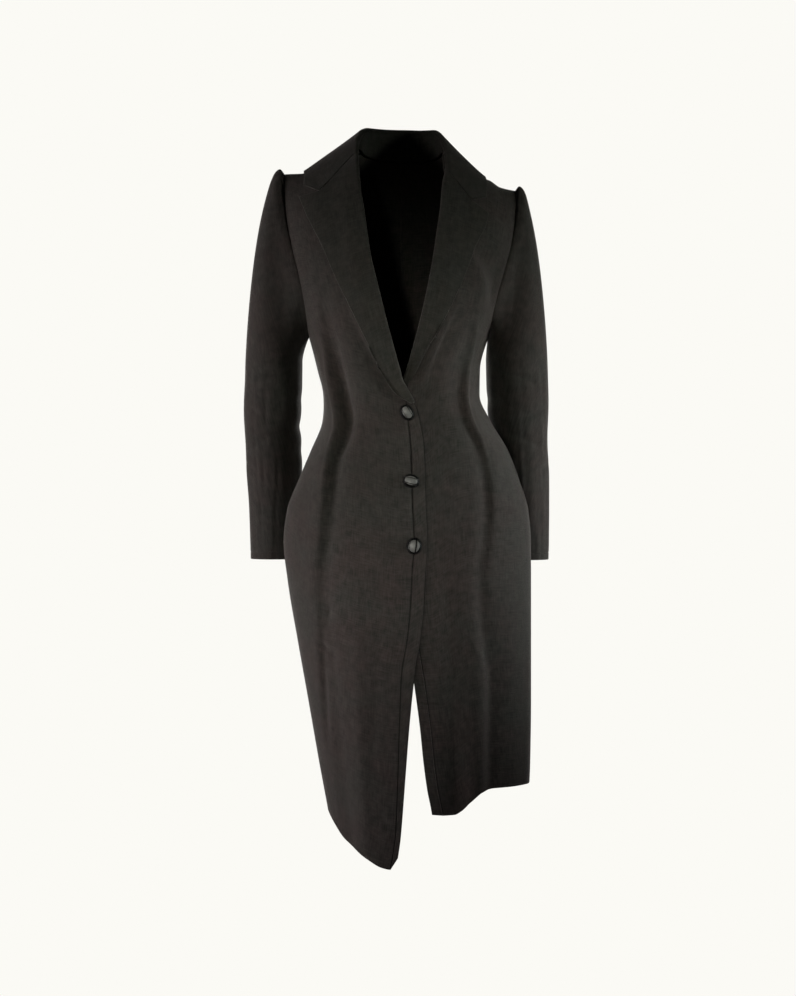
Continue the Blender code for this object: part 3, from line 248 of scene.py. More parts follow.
def panel_place(side, face, u, v):
    """(across, y, height) on the plain torso: u runs from the panel's centre edge out, v from the hem up."""
    u, v = np.broadcast_arrays(np.asarray(u, float), np.asarray(v, float))
    rise = v / CHEST_ROW
    turn = np.maximum(v - CHEST_ROW, 0.0) / (1 - CHEST_ROW)

    def lean_at(x):
        """How far the cloth leans over the shoulder, in degrees, with 90 on the seam."""
        return turn * (curve(BACK_NECK, np.abs(x)) if face == BACK else 90.0)

    def height_at(share, x):
        hem = curve(HEM[side, face], share)
        shoulder = CHEST_HEIGHT + (curve(SHOULDER, x) - CHEST_HEIGHT) * np.sin(np.radians(lean_at(x)))
        return np.where(v <= CHEST_ROW, hem + rise * (CHEST_HEIGHT - hem), shoulder)

    def settle(share, x_at):
        x = np.full(u.shape, side * FIRST_GUESS)
        for _ in range(SETTLING_ROUNDS):
            height = height_at(share, x)
            x = x_at(height)
        return x, height

    def angle(x, height):
        middle, half = middle_and_half(height)
        return np.arcsin(np.clip((x - middle) / half, -1.0, 1.0))

    x_in, height_in = settle(0.0, lambda height: inner_x(side, face, height))
    x_out, height_out = settle(1.0, lambda height: side * curve(ARMHOLE[side], height))
    angle_in = angle(x_in, height_in)
    angle_out = np.where(height_out <= UNDERARM_HEIGHT, side * math.pi / 2, angle(x_out, height_out))
    turned = angle_in + (angle_out - angle_in) * u

    def x_at(height):
        middle, half = middle_and_half(height)
        return middle + half * np.sin(turned)

    x, height = settle(np.clip(u, 0.0, 1.0), x_at)
    past_side = np.where(np.cos(turned) < 0, -1.0, 1.0)
    facing = face * past_side
    lean = lean_at(x)
    past_top = np.where(lean > 90.0, -1.0, 1.0)
    over = rounded(np.sin(np.radians(lean)), SHOULDER_SQUARENESS) * past_top
    closing = np.where(v <= CHEST_ROW, 1.0, over)
    reach = depth(facing * past_top, height)
    y = facing * reach * rounded(np.sin(turned), squareness(facing * past_top, height)) * closing
    return x, y, height


# Creases laid over the folds: panel, width on the left and on the right of the line as it runs, in metres,
# and the line: (across, height, rise)
CREASES = [
    # The right dart: the cloth turns over sharply at its ridge and lies back in a wide trough beside it
    ((RIGHT, FRONT), 0.005, 0.0035, ((-0.124, -0.215, 0.0), (-0.118, -0.262, 0.0012),
        (-0.109, -0.315, 0.002), (-0.098, -0.368, 0.0026), (-0.097, -0.392, 0.0026),
        (-0.106, -0.424, 0.0022), (-0.117, -0.47, 0.0014), (-0.122, -0.53, 0.0007), (-0.127, -0.59, 0.0))),
    ((RIGHT, FRONT), 0.017, 0.0058, ((-0.125, -0.169, 0.0), (-0.119, -0.218, -0.002),
        (-0.112, -0.258, -0.004), (-0.102, -0.296, -0.0052), (-0.092, -0.337, -0.006),
        (-0.086, -0.377, -0.0062), (-0.092, -0.41, -0.0056), (-0.101, -0.442, -0.0044),
        (-0.104, -0.49, -0.0036), (-0.105, -0.536, -0.003), (-0.115, -0.581, -0.0022),
        (-0.129, -0.627, -0.0012), (-0.132, -0.676, 0.0))),
    # The left dart, with a narrower trough
    ((LEFT, FRONT), 0.0035, 0.005, ((0.119, -0.215, 0.0), (0.11, -0.262, 0.001), (0.1, -0.305, 0.0014),
        (0.097, -0.345, 0.0018), (0.104, -0.38, 0.002), (0.119, -0.412, 0.0016), (0.133, -0.452, 0.001),
        (0.141, -0.495, 0.0006), (0.144, -0.55, 0.0))),
    ((LEFT, FRONT), 0.0028, 0.006, ((0.111, -0.233, 0.0), (0.105, -0.268, -0.0016),
        (0.096, -0.306, -0.0026), (0.092, -0.337, -0.0032), (0.097, -0.371, -0.0034),
        (0.108, -0.398, -0.003), (0.122, -0.426, -0.0018), (0.131, -0.453, 0.0))),
    ((LEFT, FRONT), 0.008, 0.011, ((0.127, -0.413, 0.0), (0.134, -0.447, -0.002), (0.134, -0.493, -0.002),
        (0.131, -0.551, -0.0016), (0.127, -0.62, 0.0))),
    # Beside each lapel's lower half the front sinks a little
    ((RIGHT, FRONT), 0.004, 0.012, ((-0.093, -0.184, 0.0), (-0.075, -0.233, -0.0018),
        (-0.055, -0.271, -0.0032), (-0.032, -0.308, -0.0036), (-0.012, -0.337, -0.0026),
        (0.001, -0.357, 0.0))),
    ((LEFT, FRONT), 0.013, 0.004, ((0.11, -0.169, 0.0), (0.093, -0.206, -0.0012), (0.073, -0.245, -0.0026),
        (0.059, -0.276, -0.003), (0.049, -0.306, -0.0024), (0.04, -0.342, 0.0))),
    # The chest's drag towards the left armhole: sunk above the line, pouched out below it
    ((LEFT, FRONT), 0.026, 0.015, ((0.105, -0.086, 0.0), (0.117, -0.111, -0.003), (0.131, -0.132, -0.005),
        (0.143, -0.154, -0.0056), (0.148, -0.18, -0.0042), (0.15, -0.21, 0.0))),
    ((LEFT, FRONT), 0.007, 0.012, ((0.099, -0.117, 0.0), (0.111, -0.134, 0.001), (0.122, -0.154, 0.002),
        (0.128, -0.175, 0.0022), (0.128, -0.196, 0.0016), (0.124, -0.224, 0.0))),
    # The band's seam is drawn in, most where the buttonholes lie open
    ((RIGHT, FRONT), 0.002, 0.0024, ((0.009, -0.356, 0.0), (0.011, -0.386, -0.0014),
        (0.015, -0.43, -0.0016), (0.018, -0.52, -0.0016), (0.02, -0.566, -0.0014), (0.017, -0.621, -0.0006),
        (0.014, -0.669, -0.0005), (0.002, -0.8, 0.0))),
    # Strain towards the top button
    ((RIGHT, FRONT), 0.009, 0.006, ((0.002, -0.364, 0.0), (-0.018, -0.352, 0.0012),
        (-0.046, -0.342, 0.0014), (-0.074, -0.338, 0.0))),
    ((RIGHT, FRONT), 0.006, 0.01, ((0.004, -0.39, 0.0), (-0.02, -0.396, -0.0012), (-0.05, -0.399, -0.0014),
        (-0.08, -0.396, 0.0))),
    ((LEFT, FRONT), 0.008, 0.011, ((0.04, -0.356, 0.0), (0.052, -0.34, 0.0014), (0.07, -0.326, 0.001),
        (0.088, -0.316, 0.0))),
    # Small wrinkles under the right hip, where the skirt turns to the side, and the hollow that they stand in
    ((RIGHT, FRONT), 0.0075, 0.0042, ((-0.127, -0.618, 0.0), (-0.124, -0.658, -0.0018),
        (-0.122, -0.704, -0.0034), (-0.121, -0.742, -0.0044), (-0.119, -0.795, -0.0048),
        (-0.116, -0.844, -0.0034), (-0.112, -0.896, 0.0))),
    ((RIGHT, FRONT), 0.0075, 0.0018, ((-0.112, -0.662, 0.0), (-0.114, -0.679, -0.0026),
        (-0.118, -0.702, 0.0))),
    ((RIGHT, FRONT), 0.004, 0.0028, ((-0.13, -0.711, 0.0), (-0.116, -0.727, 0.0014),
        (-0.098, -0.734, 0.0))),
    ((RIGHT, FRONT), 0.007, 0.002, ((-0.132, -0.722, 0.0), (-0.118, -0.736, -0.0028),
        (-0.101, -0.745, 0.0))),
    ((RIGHT, FRONT), 0.002, 0.006, ((-0.122, -0.762, 0.0), (-0.109, -0.751, -0.0024),
        (-0.093, -0.743, 0.0))),
    ((RIGHT, FRONT), 0.007, 0.009, ((-0.104, -0.664, 0.0), (-0.084, -0.63, 0.0014), (-0.06, -0.592, 0.0012),
        (-0.041, -0.566, 0.0))),
    # The left skirt's long trough
    ((LEFT, FRONT), 0.017, 0.016, ((0.111, -0.585, 0.0), (0.121, -0.639, -0.0018), (0.131, -0.688, -0.003),
        (0.143, -0.742, -0.0042), (0.15, -0.788, -0.0046), (0.15, -0.841, -0.004), (0.151, -0.902, -0.0036),
        (0.156, -0.963, -0.0034))),
    # Slight upright folds down the fronts
    ((RIGHT, FRONT), 0.009, 0.009, ((-0.069, -0.658, 0.0), (-0.066, -0.78, 0.0012), (-0.06, -0.902, 0.0014),
        (-0.054, -1.04, 0.001))),
    ((RIGHT, FRONT), 0.006, 0.008, ((-0.031, -0.597, 0.0), (-0.035, -0.719, -0.001),
        (-0.041, -0.841, -0.0012), (-0.044, -0.963, 0.0))),
    ((LEFT, FRONT), 0.008, 0.006, ((0.069, -0.566, 0.0), (0.072, -0.658, -0.0012), (0.078, -0.78, -0.0016),
        (0.082, -0.963, -0.0014))),
]
# The cloth's slight swellings: (rise, width, length, seed)
UNEVEN = ((0.0005, 0.030, 0.085, 7), (0.0002, 0.012, 0.022, 27))
UNEVEN_FROM, UNEVEN_FULL = -0.10, -0.30
# How far from a seam the creases begin: a share of half the width at the side, metres elsewhere
SIDE_FADE, SEAM_FADE = 0.02, 0.012


def even_line(points, count=25):
    """A crease's line with smooth steps between its points."""
    table = [(k, *point) for k, point in enumerate(points)]
    at = np.linspace(0, len(points) - 1, count)
    return np.stack([curve(table, at, k) for k in (1, 2, 3)], axis=-1)


def crease(x, height, line, left, right):
    """How far a crease lifts the cloth at each place: it follows its line and falls off on either side."""
    nearest = np.full(np.shape(x), 1e9)
    lift = np.zeros(np.shape(x))
    for start, end in zip(line, line[1:]):
        run, climb = end[0] - start[0], end[1] - start[1]
        share = ((x - start[0]) * run + (height - start[1]) * climb) / (run * run + climb * climb)
        share = np.clip(share, 0, 1)
        aside, above = x - start[0] - share * run, height - start[1] - share * climb
        off = np.hypot(aside, above)
        width = np.where(run * above - climb * aside > 0, left, right)
        here = (start[2] + (end[2] - start[2]) * share) * bell(off, width)
        lift = np.where(off < nearest, here, lift)
        nearest = np.minimum(nearest, off)
    return lift


# Swellings repeat after this many, and the count starts here on the shoulder line
LATTICE, LATTICE_START = 64, (32.0, 40.0)


def unevenness(x, height, wide, tall, seed):
    """Soft swellings between -1 and 1, each about wide across and tall up the cloth."""
    lattice = np.random.default_rng(seed).uniform(-1.0, 1.0, (LATTICE, LATTICE))
    a, b = x / wide + LATTICE_START[0], height / tall + LATTICE_START[1]
    i, j = np.floor(a).astype(int), np.floor(b).astype(int)
    s, t = a - i, b - j
    s, t = s * s * (3 - 2 * s), t * t * (3 - 2 * t)
    i, j, k, l = i % LATTICE, j % LATTICE, (i + 1) % LATTICE, (j + 1) % LATTICE
    low = lattice[i, j] * (1 - s) + lattice[k, j] * s
    high = lattice[i, l] * (1 - s) + lattice[k, l] * s
    return low * (1 - t) + high * t


def away_from_seams(side, face, x, height):
    """0 at the armhole, the side seam and the centre back seam, and 1 a little way off them."""
    middle, half = middle_and_half(height)
    side_seam = ease(1 - np.abs(x - middle) / half, 0.0, SIDE_FADE)
    armhole = ease(curve(ARMHOLE[side], height) - side * x, 0.0, SEAM_FADE)
    free = np.where(height > UNDERARM_HEIGHT, armhole, side_seam)
    if face == BACK:
        free = free * ease(side * (x - inner_x(side, BACK, height)), 0.0, SEAM_FADE)
    return free


def fold_height(side, face, x, height):
    """How far the folds push the cloth out, or pull it in, at a place on a panel."""
    dart = DART[side, face]
    q = side * (x - curve(dart, height, 1))
    width = np.where(q < 0, RIDGE_TO_CENTRE, RIDGE_TO_SIDE)
    total = curve(dart, height, 2) * bell(q, width)
    total = total - curve(dart, height, 3) * bell(q + TROUGH_AT, TROUGH_WIDTH)
    for panel, width, line in SOFT_FOLDS:
        if panel == (side, face):
            total = total + curve(line, height, 2) * bell(x - curve(line, height, 1), width)
    free = away_from_seams(side, face, x, height)
    for panel, left, right, line in CREASES:
        if panel == (side, face):
            total = total + free * crease(x, height, even_line(line), left, right)
    calm = free * ease(height, UNEVEN_FROM, UNEVEN_FULL)
    for rise, wide, tall, seed in UNEVEN:
        total = total + rise * calm * unevenness(x, height, wide, tall, seed + side + 3 * face)
    if (side, face) == (LEFT, FRONT):
        reach = edge_x(RIGHT, height) + UNDERLAP_REACH
        total = total - curve(UNDERLAP, height) * (1 - ease(x, reach, reach + UNDERLAP_FADE))
    return total


def directions(grid, closed=False):
    """The way out of a grid's surface, or into it, at each of its points."""
    if closed:
        across = np.roll(grid, -1, axis=1) - np.roll(grid, 1, axis=1)
    else:
        across = np.gradient(grid, axis=1)
    return unit(np.cross(across, np.gradient(grid, axis=0)))


def panel_grid(side, face, rows, columns):
    """The outer face of a panel, with its folds and creases, rows by columns."""
    v, u = np.meshgrid(np.linspace(0.0, 1.0, rows), np.linspace(0.0, 1.0, columns), indexing="ij")
    place = np.stack(panel_place(side, face, u, v), axis=-1)
    out = directions(place) * side * -face
    return place + out * fold_height(side, face, place[..., 0], place[..., 2])[..., None]


# Lines round a wall's edge, at these shares of half its thickness
RIM = (0.10, 0.32, 0.62, 1.0)


def with_rim(grid, axis, radius):
    """A grid with lines added just inside two of its borders, and how far from them each line lies."""
    grid = np.moveaxis(grid, axis, 0)
    steps = np.array(RIM)[:, None, None] * radius
    first = grid[0] + unit(grid[1] - grid[0]) * steps
    last = grid[-1] + unit(grid[-2] - grid[-1]) * steps[::-1]
    grid = np.concatenate([grid[:1], first, grid[1:-1], last, grid[-1:]])
    inside = np.ones(len(grid))
    rim = np.array((0.0,) + RIM)
    inside[:len(rim)] = np.sqrt(1 - (1 - rim) ** 2)
    inside[-len(rim):] = inside[:len(rim)][::-1]
    return np.moveaxis(grid, 0, axis), inside


def sheet_of_cloth(name, grid, thickness, finish, outward, closed=False, shaded_rims=()):
    """Makes a wall of cloth with rounded edges. The grid is its outer face, rows by columns. The rims at the
    borders given in the last argument (0 the first column, -1 the last one) get painted shade: a darker copy
    of the cloth without sheen."""
    grid, row_share = with_rim(grid, 0, thickness / 2)
    column_share = np.ones(grid.shape[1])
    if not closed:
        grid, column_share = with_rim(grid, 1, thickness / 2)
    half = (row_share[:, None] * column_share[None, :] * thickness / 2)[..., None]
    out = directions(grid, closed) * outward
    middle = grid - out * thickness / 2
    rows, columns = half.shape[:2]
    outer = np.arange(rows * columns).reshape(rows, columns)
    inner = outer + rows * columns
    inner[[0, -1]] = outer[[0, -1]]
    if not closed:
        inner[:, [0, -1]] = outer[:, [0, -1]]
    points = np.concatenate([(middle + out * half).reshape(-1, 3), (middle - out * half).reshape(-1, 3)])
    after = np.roll(np.arange(columns), -1)[: columns if closed else columns - 1]
    here = np.arange(len(after))
    faces = []
    for numbers, turned in ((outer, outward < 0), (inner, outward > 0)):
        corners = [numbers[:-1][:, here], numbers[:-1][:, after], numbers[1:][:, after], numbers[1:][:, here]]
        faces.append(np.stack(corners[::-1] if turned else corners, axis=-1).reshape(-1, 4))
    faces = np.concatenate(faces)
    # Each place on the cloth before it was made up: metres across from the first border and up from the hem
    spread = np.concatenate([grid, grid[:, :1]], axis=1) if closed else grid
    across, along = np.zeros(spread.shape[:2]), np.zeros(spread.shape[:2])
    across[:, 1:] = np.cumsum(np.linalg.norm(np.diff(spread, axis=1), axis=-1), axis=1)
    along[1:] = np.cumsum(np.linalg.norm(np.diff(spread, axis=0), axis=-1), axis=0)
    flat = np.stack([across, along], axis=-1)
    corners = [flat[:-1, :-1], flat[:-1, 1:], flat[1:, 1:], flat[1:, :-1]]
    flat = np.concatenate([np.stack(corners[::-1] if turned else corners, axis=2).reshape(-1, 2)
                           for turned in (outward < 0, outward > 0)])
    used, numbers = np.unique(faces, return_inverse=True)
    faces = numbers.reshape(faces.shape)
    mesh = bpy.data.meshes.new(name)
    mesh.from_pydata(points[used].tolist(), [], faces.tolist())
    mesh.uv_layers.new(name="cloth")
    mesh.uv_layers["cloth"].data.foreach_set("uv", flat.astype(np.float32).ravel())
    mesh.shade_smooth()
    mesh.materials.append(finish)
    # Painted shade: the rim faces at those borders, outside and inside, take the darker cloth
    rim_shade = np.zeros((rows - 1, len(after)), np.int32)
    if shaded_rims:
        mesh.materials.append(RIM_SHADE_CLOTH)
    for border in shaded_rims:
        rim_shade[:, slice(0, len(RIM)) if border == 0 else slice(-len(RIM), None)] = 1
    mesh.polygons.foreach_set("material_index", np.tile(rim_shade.ravel(), 2))
    piece = bpy.data.objects.new(name, mesh)
    bpy.context.scene.collection.objects.link(piece)
    return piece


def set_up(made, settings):
    """Gives a shader node its sockets' values and its other settings."""
    for key, value in settings.items():
        if key in made.inputs:
            made.inputs[key].default_value = value
        else:
            setattr(made, key, value)


def node(tree, kind, **settings):
    """Adds a shader node of a kind, with its settings."""
    made = tree.nodes.new("ShaderNode" + kind)
    set_up(made, settings)
    return made


def join(tree, start, start_socket, end, end_socket):
    """Links a node's output to another one's input."""
    tree.links.new(start.outputs[start_socket], end.inputs[end_socket])


# Thick and thin places in the threads that run up and across, counted to the metre each way, and their height
SLUBS, SLUB_HEIGHT = ((540.0, 42.0), (46.0, 600.0)), 0.7


def slubbed_weave():
    """A plain weave with thick and thin threads: a shade and a height over the cloth's flat coordinates."""
    tree = bpy.data.node_groups.new("slubbed weave", "ShaderNodeTree")
    for name, kind, way in (("Flat", "NodeSocketVector", "INPUT"), ("Threads", "NodeSocketFloat", "INPUT"),
                            ("Shade", "NodeSocketFloat", "OUTPUT"), ("Height", "NodeSocketFloat", "OUTPUT")):
        tree.interface.new_socket(name=name, in_out=way, socket_type=kind)
    start, end = tree.nodes.new("NodeGroupInput"), tree.nodes.new("NodeGroupOutput")
    shades, heights = [], []
    for scale_x, scale_y in SLUBS:
        stretch = node(tree, "VectorMath", operation="MULTIPLY")
        stretch.inputs[1].default_value = (scale_x, scale_y, 1.0)
        slub = node(tree, "TexNoise", Scale=1.0, Detail=3.0, Roughness=0.62)
        join(tree, start, "Flat", stretch, 0)
        join(tree, stretch, 0, slub, "Vector")
        shades.append(slub)
    split = node(tree, "SeparateXYZ")
    join(tree, start, "Flat", split, 0)
    for axis in (0, 1):
        turn = node(tree, "Math", operation="MULTIPLY")
        wave = node(tree, "Math", operation="SINE")
        join(tree, split, axis, turn, 0)
        join(tree, start, "Threads", turn, 1)
        join(tree, turn, 0, wave, 0)
        heights.append(wave)
    cross = node(tree, "Math", operation="MULTIPLY")
    raised = node(tree, "Math", operation="ABSOLUTE")
    join(tree, heights[0], 0, cross, 0)
    join(tree, heights[1], 0, cross, 1)
    join(tree, cross, 0, raised, 0)
    both = node(tree, "Math", operation="ADD")
    join(tree, shades[0], 0, both, 0)
    join(tree, shades[1], 0, both, 1)
    shade = node(tree, "MapRange", **{"From Min": 0.66, "From Max": 1.34})
    join(tree, both, 0, shade, 0)
    tall = node(tree, "Math", operation="MULTIPLY_ADD")
    tall.inputs[1].default_value = SLUB_HEIGHT
    join(tree, shade, 0, tall, 0)
    join(tree, raised, 0, tall, 2)
    join(tree, shade, 0, end, "Shade")
    join(tree, tall, 0, end, "Height")
    return tree


WEAVE = slubbed_weave()
# From one thread to the next, in metres
THREAD = 0.00085


def cloth_finish(name, low, high, warm, roughness, sheen):
    """Matt cloth: threads between two tones, warmer in broad patches, with a soft nap."""
    made = bpy.data.materials.new(name)
    made.use_nodes = True
    tree = made.node_tree
    shader = tree.nodes["Principled BSDF"]
    set_up(shader, {"Roughness": roughness, "Specular IOR Level": 0.20, "Sheen Weight": sheen,
                    "Sheen Roughness": 0.45, "Sheen Tint": (0.80, 0.74, 0.72, 1.0)})
    flat = node(tree, "UVMap", uv_map="cloth")
    weave = node(tree, "Group", node_tree=WEAVE)
    set_up(weave, {"Threads": math.pi / THREAD})
    join(tree, flat, "UV", weave, "Flat")
    place = node(tree, "TexCoord")
    patches = node(tree, "TexNoise", Scale=14.0, Detail=4.0, Roughness=0.62)
    join(tree, place, "Object", patches, "Vector")
    spread = node(tree, "MapRange", **{"From Min": 0.38, "From Max": 0.62})
    join(tree, patches, 0, spread, 0)
    # The nap lies unevenly, so the cloth is mottled over a finger's width or less
    mottle = node(tree, "TexNoise", Scale=95.0, Detail=3.0, Roughness=0.6)
    join(tree, place, "Object", mottle, "Vector")
    nap = node(tree, "MapRange", **{"From Min": 0.30, "From Max": 0.70, "To Min": -0.22, "To Max": 0.22})
    join(tree, mottle, 0, nap, 0)
    lie = node(tree, "Math", operation="ADD", use_clamp=True)
    join(tree, nap, 0, lie, 0)
    join(tree, weave, "Shade", lie, 1)
    threads = node(tree, "Mix", data_type="RGBA")
    threads.inputs[6].default_value = (*low, 1.0)
    threads.inputs[7].default_value = (*high, 1.0)
    join(tree, lie, 0, threads, 0)
    tint = node(tree, "Mix", data_type="RGBA", blend_type="MULTIPLY")
    tint.inputs[7].default_value = (*warm, 1.0)
    join(tree, spread, 0, tint, 0)
    join(tree, threads, 2, tint, 6)
    join(tree, tint, 2, shader, "Base Color")
    bump = node(tree, "Bump", Strength=0.35, Distance=0.0003)
    join(tree, weave, "Height", bump, "Height")
    join(tree, bump, "Normal", shader, "Normal")
    return made


CHARCOAL = cloth_finish("charcoal cloth", low=(0.0105, 0.0102, 0.0085), high=(0.0330, 0.0308, 0.0262),
                        warm=(1.14, 0.95, 0.98), roughness=0.88, sheen=0.22)
# Painted shade: a darker copy of the cloth, without sheen, for the rims along seams and front edges
RIM_SHADE_CLOTH = cloth_finish("cloth with painted rim shade", low=(0.0030, 0.0029, 0.0025), high=(0.0090, 0.0085, 0.0075),
                          warm=(1.14, 0.95, 0.98), roughness=0.90, sheen=0.0)

for name, side in (("front_right", RIGHT), ("front_left", LEFT)):
    grid = panel_grid(side, FRONT, rows=260, columns=100)
    # Painted shade on the rim along the band's seam and the turned edge
    piece = sheet_of_cloth(name + "_cloth", grid, CLOTH, CHARCOAL, side, shaded_rims=(0,))
    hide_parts(name)
    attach(piece, "root")


# Front bands
# A narrow strip of the same cloth is sewn along each front edge. On the wearer's right the three buttonholes
# are openings left in its seam.
# Where the hem's corner of the band lies, as a share of the hem beyond the seam
BAND_CORNER = -0.06
# A short step over which a slope is taken
STEP = 0.0005


def front_surface(side, x, height, out=0.0):
    """Points on a front's outer face, moved out, and the direction out there."""
    slope_x = (torso_y(FRONT, x + STEP, height) - torso_y(FRONT, x - STEP, height)) / (2 * STEP)
    slope_z = (torso_y(FRONT, x, height + STEP) - torso_y(FRONT, x, height - STEP)) / (2 * STEP)
    normal = unit(np.stack([slope_x, -np.ones_like(slope_x), slope_z], axis=-1))
    place = np.stack([x, torso_y(FRONT, x, height), height], axis=-1)
    lift = fold_height(side, FRONT, x, height) + out
    return place + normal * lift[..., None], normal


def band_grid(side, rows, columns):
    """The band's outer face between the front edge and its seam."""
    low_outer, low_inner = curve(HEM[side, FRONT], np.array([BAND_CORNER, 0.0]))
    turn_start, turn_end = TURNED_EDGE_START[side]
    share, across = np.meshgrid(np.linspace(0, 1, rows), np.linspace(0, 1, columns), indexing="ij")
    height_outer = low_outer + (BAND_TOP[side] - low_outer) * share
    height_inner = low_inner + (BAND_TOP[side] - low_inner) * share
    x_outer = edge_x(side, height_outer) + side * TURNED_EDGE_INSET * ease(height_outer, turn_start, turn_end)
    x_inner = seam_x(side, height_inner)
    x = x_outer + (x_inner - x_outer) * across
    return front_surface(side, x, height_outer + (height_inner - height_outer) * across)[0]


for name, side in (("front_band_right", RIGHT), ("front_band_left", LEFT)):
    grid = band_grid(side, rows=260, columns=20)
    # Painted shade on the rims along the front edge and the seam
    piece = sheet_of_cloth(name + "_cloth", grid, CLOTH, CHARCOAL, side, shaded_rims=(0, -1))
    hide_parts(name)
    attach(piece, "root")


# Backs
# Two backs meet in a centre seam that ends in a vent above the hem. Long darts take in the waist, and the
# cloth falls in soft folds below the hips.
# How far up over the shoulder the backs reach, in degrees, at each distance from the middle
BACK_NECK = ((0.0, 46.5), (0.03, 51.0), (0.055, 62.0), (0.066, 74.0), (0.0715, 90.0), (0.3, 90.0))
# Centre back seam and, below it, half the opening of the vent: (height, across, half width)
BACK_SEAM = ((0.2, 0.0, 0.0), (0.0, 0.0, 0.0), (-0.34, 0.001, 0.0), (-0.6, 0.009, 0.0), (-0.76, 0.015, 0.0),
    (-0.79, 0.0165, 0.003), (-0.86, 0.0205, 0.012), (-0.98, 0.027, 0.027), (-1.05, 0.03, 0.03))
HEM.update({
    (RIGHT, BACK): ((0.0, -0.968), (1.0, -0.99)),
    (LEFT, BACK): ((0.0, -0.968), (1.0, -0.951)),
})
DART.update({
    (RIGHT, BACK): ((0.06, -0.115, 0.0, 0.0), (-0.14, -0.1, 0.0, 0.0), (-0.245, -0.086, 0.0012, 0.0018),
        (-0.345, -0.07, 0.003, 0.0045), (-0.43, -0.08, 0.0022, 0.0035), (-0.56, -0.098, 0.0, 0.0005),
        (-0.76, -0.075, 0.004, 0.003), (-1.05, -0.055, 0.0075, 0.006)),
    (LEFT, BACK): ((0.06, 0.115, 0.0, 0.0), (-0.14, 0.1, 0.0, 0.0), (-0.245, 0.086, 0.0012, 0.0018),
        (-0.345, 0.074, 0.003, 0.0045), (-0.43, 0.092, 0.0022, 0.0035), (-0.56, 0.116, 0.0, 0.0005),
        (-0.76, 0.122, 0.0035, 0.003), (-1.05, 0.128, 0.007, 0.006)),
})
SOFT_FOLDS += [
    ((RIGHT, BACK), 0.022, ((-0.62, -0.124, 0.0), (-0.8, -0.104, 0.0035), (-1.05, -0.08, -0.006))),
    ((LEFT, BACK), 0.022, ((-0.62, 0.168, 0.0), (-0.8, 0.17, 0.0035), (-1.05, 0.172, 0.007))),
]
# Drag lines at the waist, long folds below the seat, and the cloth drawn towards each armhole
CREASES += [
    ((RIGHT, BACK), 0.008, 0.011, ((-0.02, -0.34, 0.0), (-0.045, -0.33, -0.0016), (-0.08, -0.322, -0.0018),
        (-0.108, -0.318, 0.0))),
    ((RIGHT, BACK), 0.009, 0.009, ((-0.015, -0.37, 0.0), (-0.042, -0.376, 0.0016), (-0.074, -0.388, 0.0014),
        (-0.102, -0.406, 0.0))),
    ((LEFT, BACK), 0.01, 0.008, ((0.02, -0.332, 0.0), (0.05, -0.324, -0.0018), (0.082, -0.314, -0.0014),
        (0.106, -0.3, 0.0))),
    ((LEFT, BACK), 0.008, 0.01, ((0.022, -0.382, 0.0), (0.056, -0.39, 0.0016), (0.09, -0.406, 0.0016),
        (0.118, -0.428, 0.0))),
    ((RIGHT, BACK), 0.014, 0.011, ((-0.036, -0.59, 0.0), (-0.033, -0.7, -0.0034), (-0.027, -0.83, -0.0052),
        (-0.018, -0.99, -0.0056))),
    ((LEFT, BACK), 0.011, 0.014, ((0.064, -0.57, 0.0), (0.07, -0.68, -0.0036), (0.076, -0.82, -0.005),
        (0.082, -0.99, -0.0054))),
    ((RIGHT, BACK), 0.009, 0.012, ((-0.156, -0.13, 0.0), (-0.142, -0.16, -0.0022),
        (-0.122, -0.186, -0.0026), (-0.098, -0.206, 0.0))),
    ((LEFT, BACK), 0.012, 0.009, ((0.154, -0.136, 0.0), (0.14, -0.168, -0.0024), (0.12, -0.196, -0.0024),
        (0.096, -0.214, 0.0))),
]
for name, side in (("back_right", RIGHT), ("back_left", LEFT)):
    grid = panel_grid(side, BACK, rows=200, columns=80)
    piece = sheet_of_cloth(name + "_cloth", grid, CLOTH, CHARCOAL, -side)
    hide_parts(name)
    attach(piece, "root")


# Lapels
# Each lapel is the front's facing turned back over its edge. It is interfaced, so it lies crisp and nearly
# flat, with a rolled fold at the front edge and a pressed outer edge.
TURNED_CLOTH, LAYER_GAP = 0.0026, 0.0009
# Outer edge up to the point, seen from the front: (height, across)
LAPEL_EDGE = {
    RIGHT: ((-0.357, 0.014), (-0.342, -0.0092), (-0.314, -0.0275), (-0.2737, -0.0464), (-0.2163, -0.0745),
        (-0.163, -0.1003), (-0.1103, -0.1224), (-0.0693, -0.1425), (-0.0354, -0.1566)),
    LEFT: ((-0.335, 0.0062), (-0.326, 0.0125), (-0.315, 0.0205), (-0.277, 0.0385), (-0.239, 0.0593),
        (-0.1858, 0.0866), (-0.1073, 0.1178), (-0.085, 0.1285), (-0.0633, 0.1333)),
}
# Seen from the front: (across, height)
GORGE_START = {RIGHT: (-0.0671, 0.0340), LEFT: (0.0684, 0.0040)}
NOTCH = {RIGHT: (-0.1250, -0.0280), LEFT: (0.1076, -0.0430)}
NOTCH_SHARE = 0.78
ROLL_RADIUS = CLOTH / 2 + LAYER_GAP + TURNED_CLOTH
LAPEL_LIFT, LAPEL_LIFT_WIDTH = 0.0016, 0.020
# The lower half of the outer edge stands a little off the front, from this share of the way across
EDGE_LIFT, EDGE_LIFT_FROM, EDGE_LIFT_AT, EDGE_LIFT_SPREAD = 0.0014, 0.25, 0.40, 0.26
# So does the corner at the notch
NOTCH_LIFT, NOTCH_LIFT_FROM = 0.0026, 0.55
# Only the top rows lean over to the gorge and the notch, by this power of their share of the way up
GORGE_BEND = 5
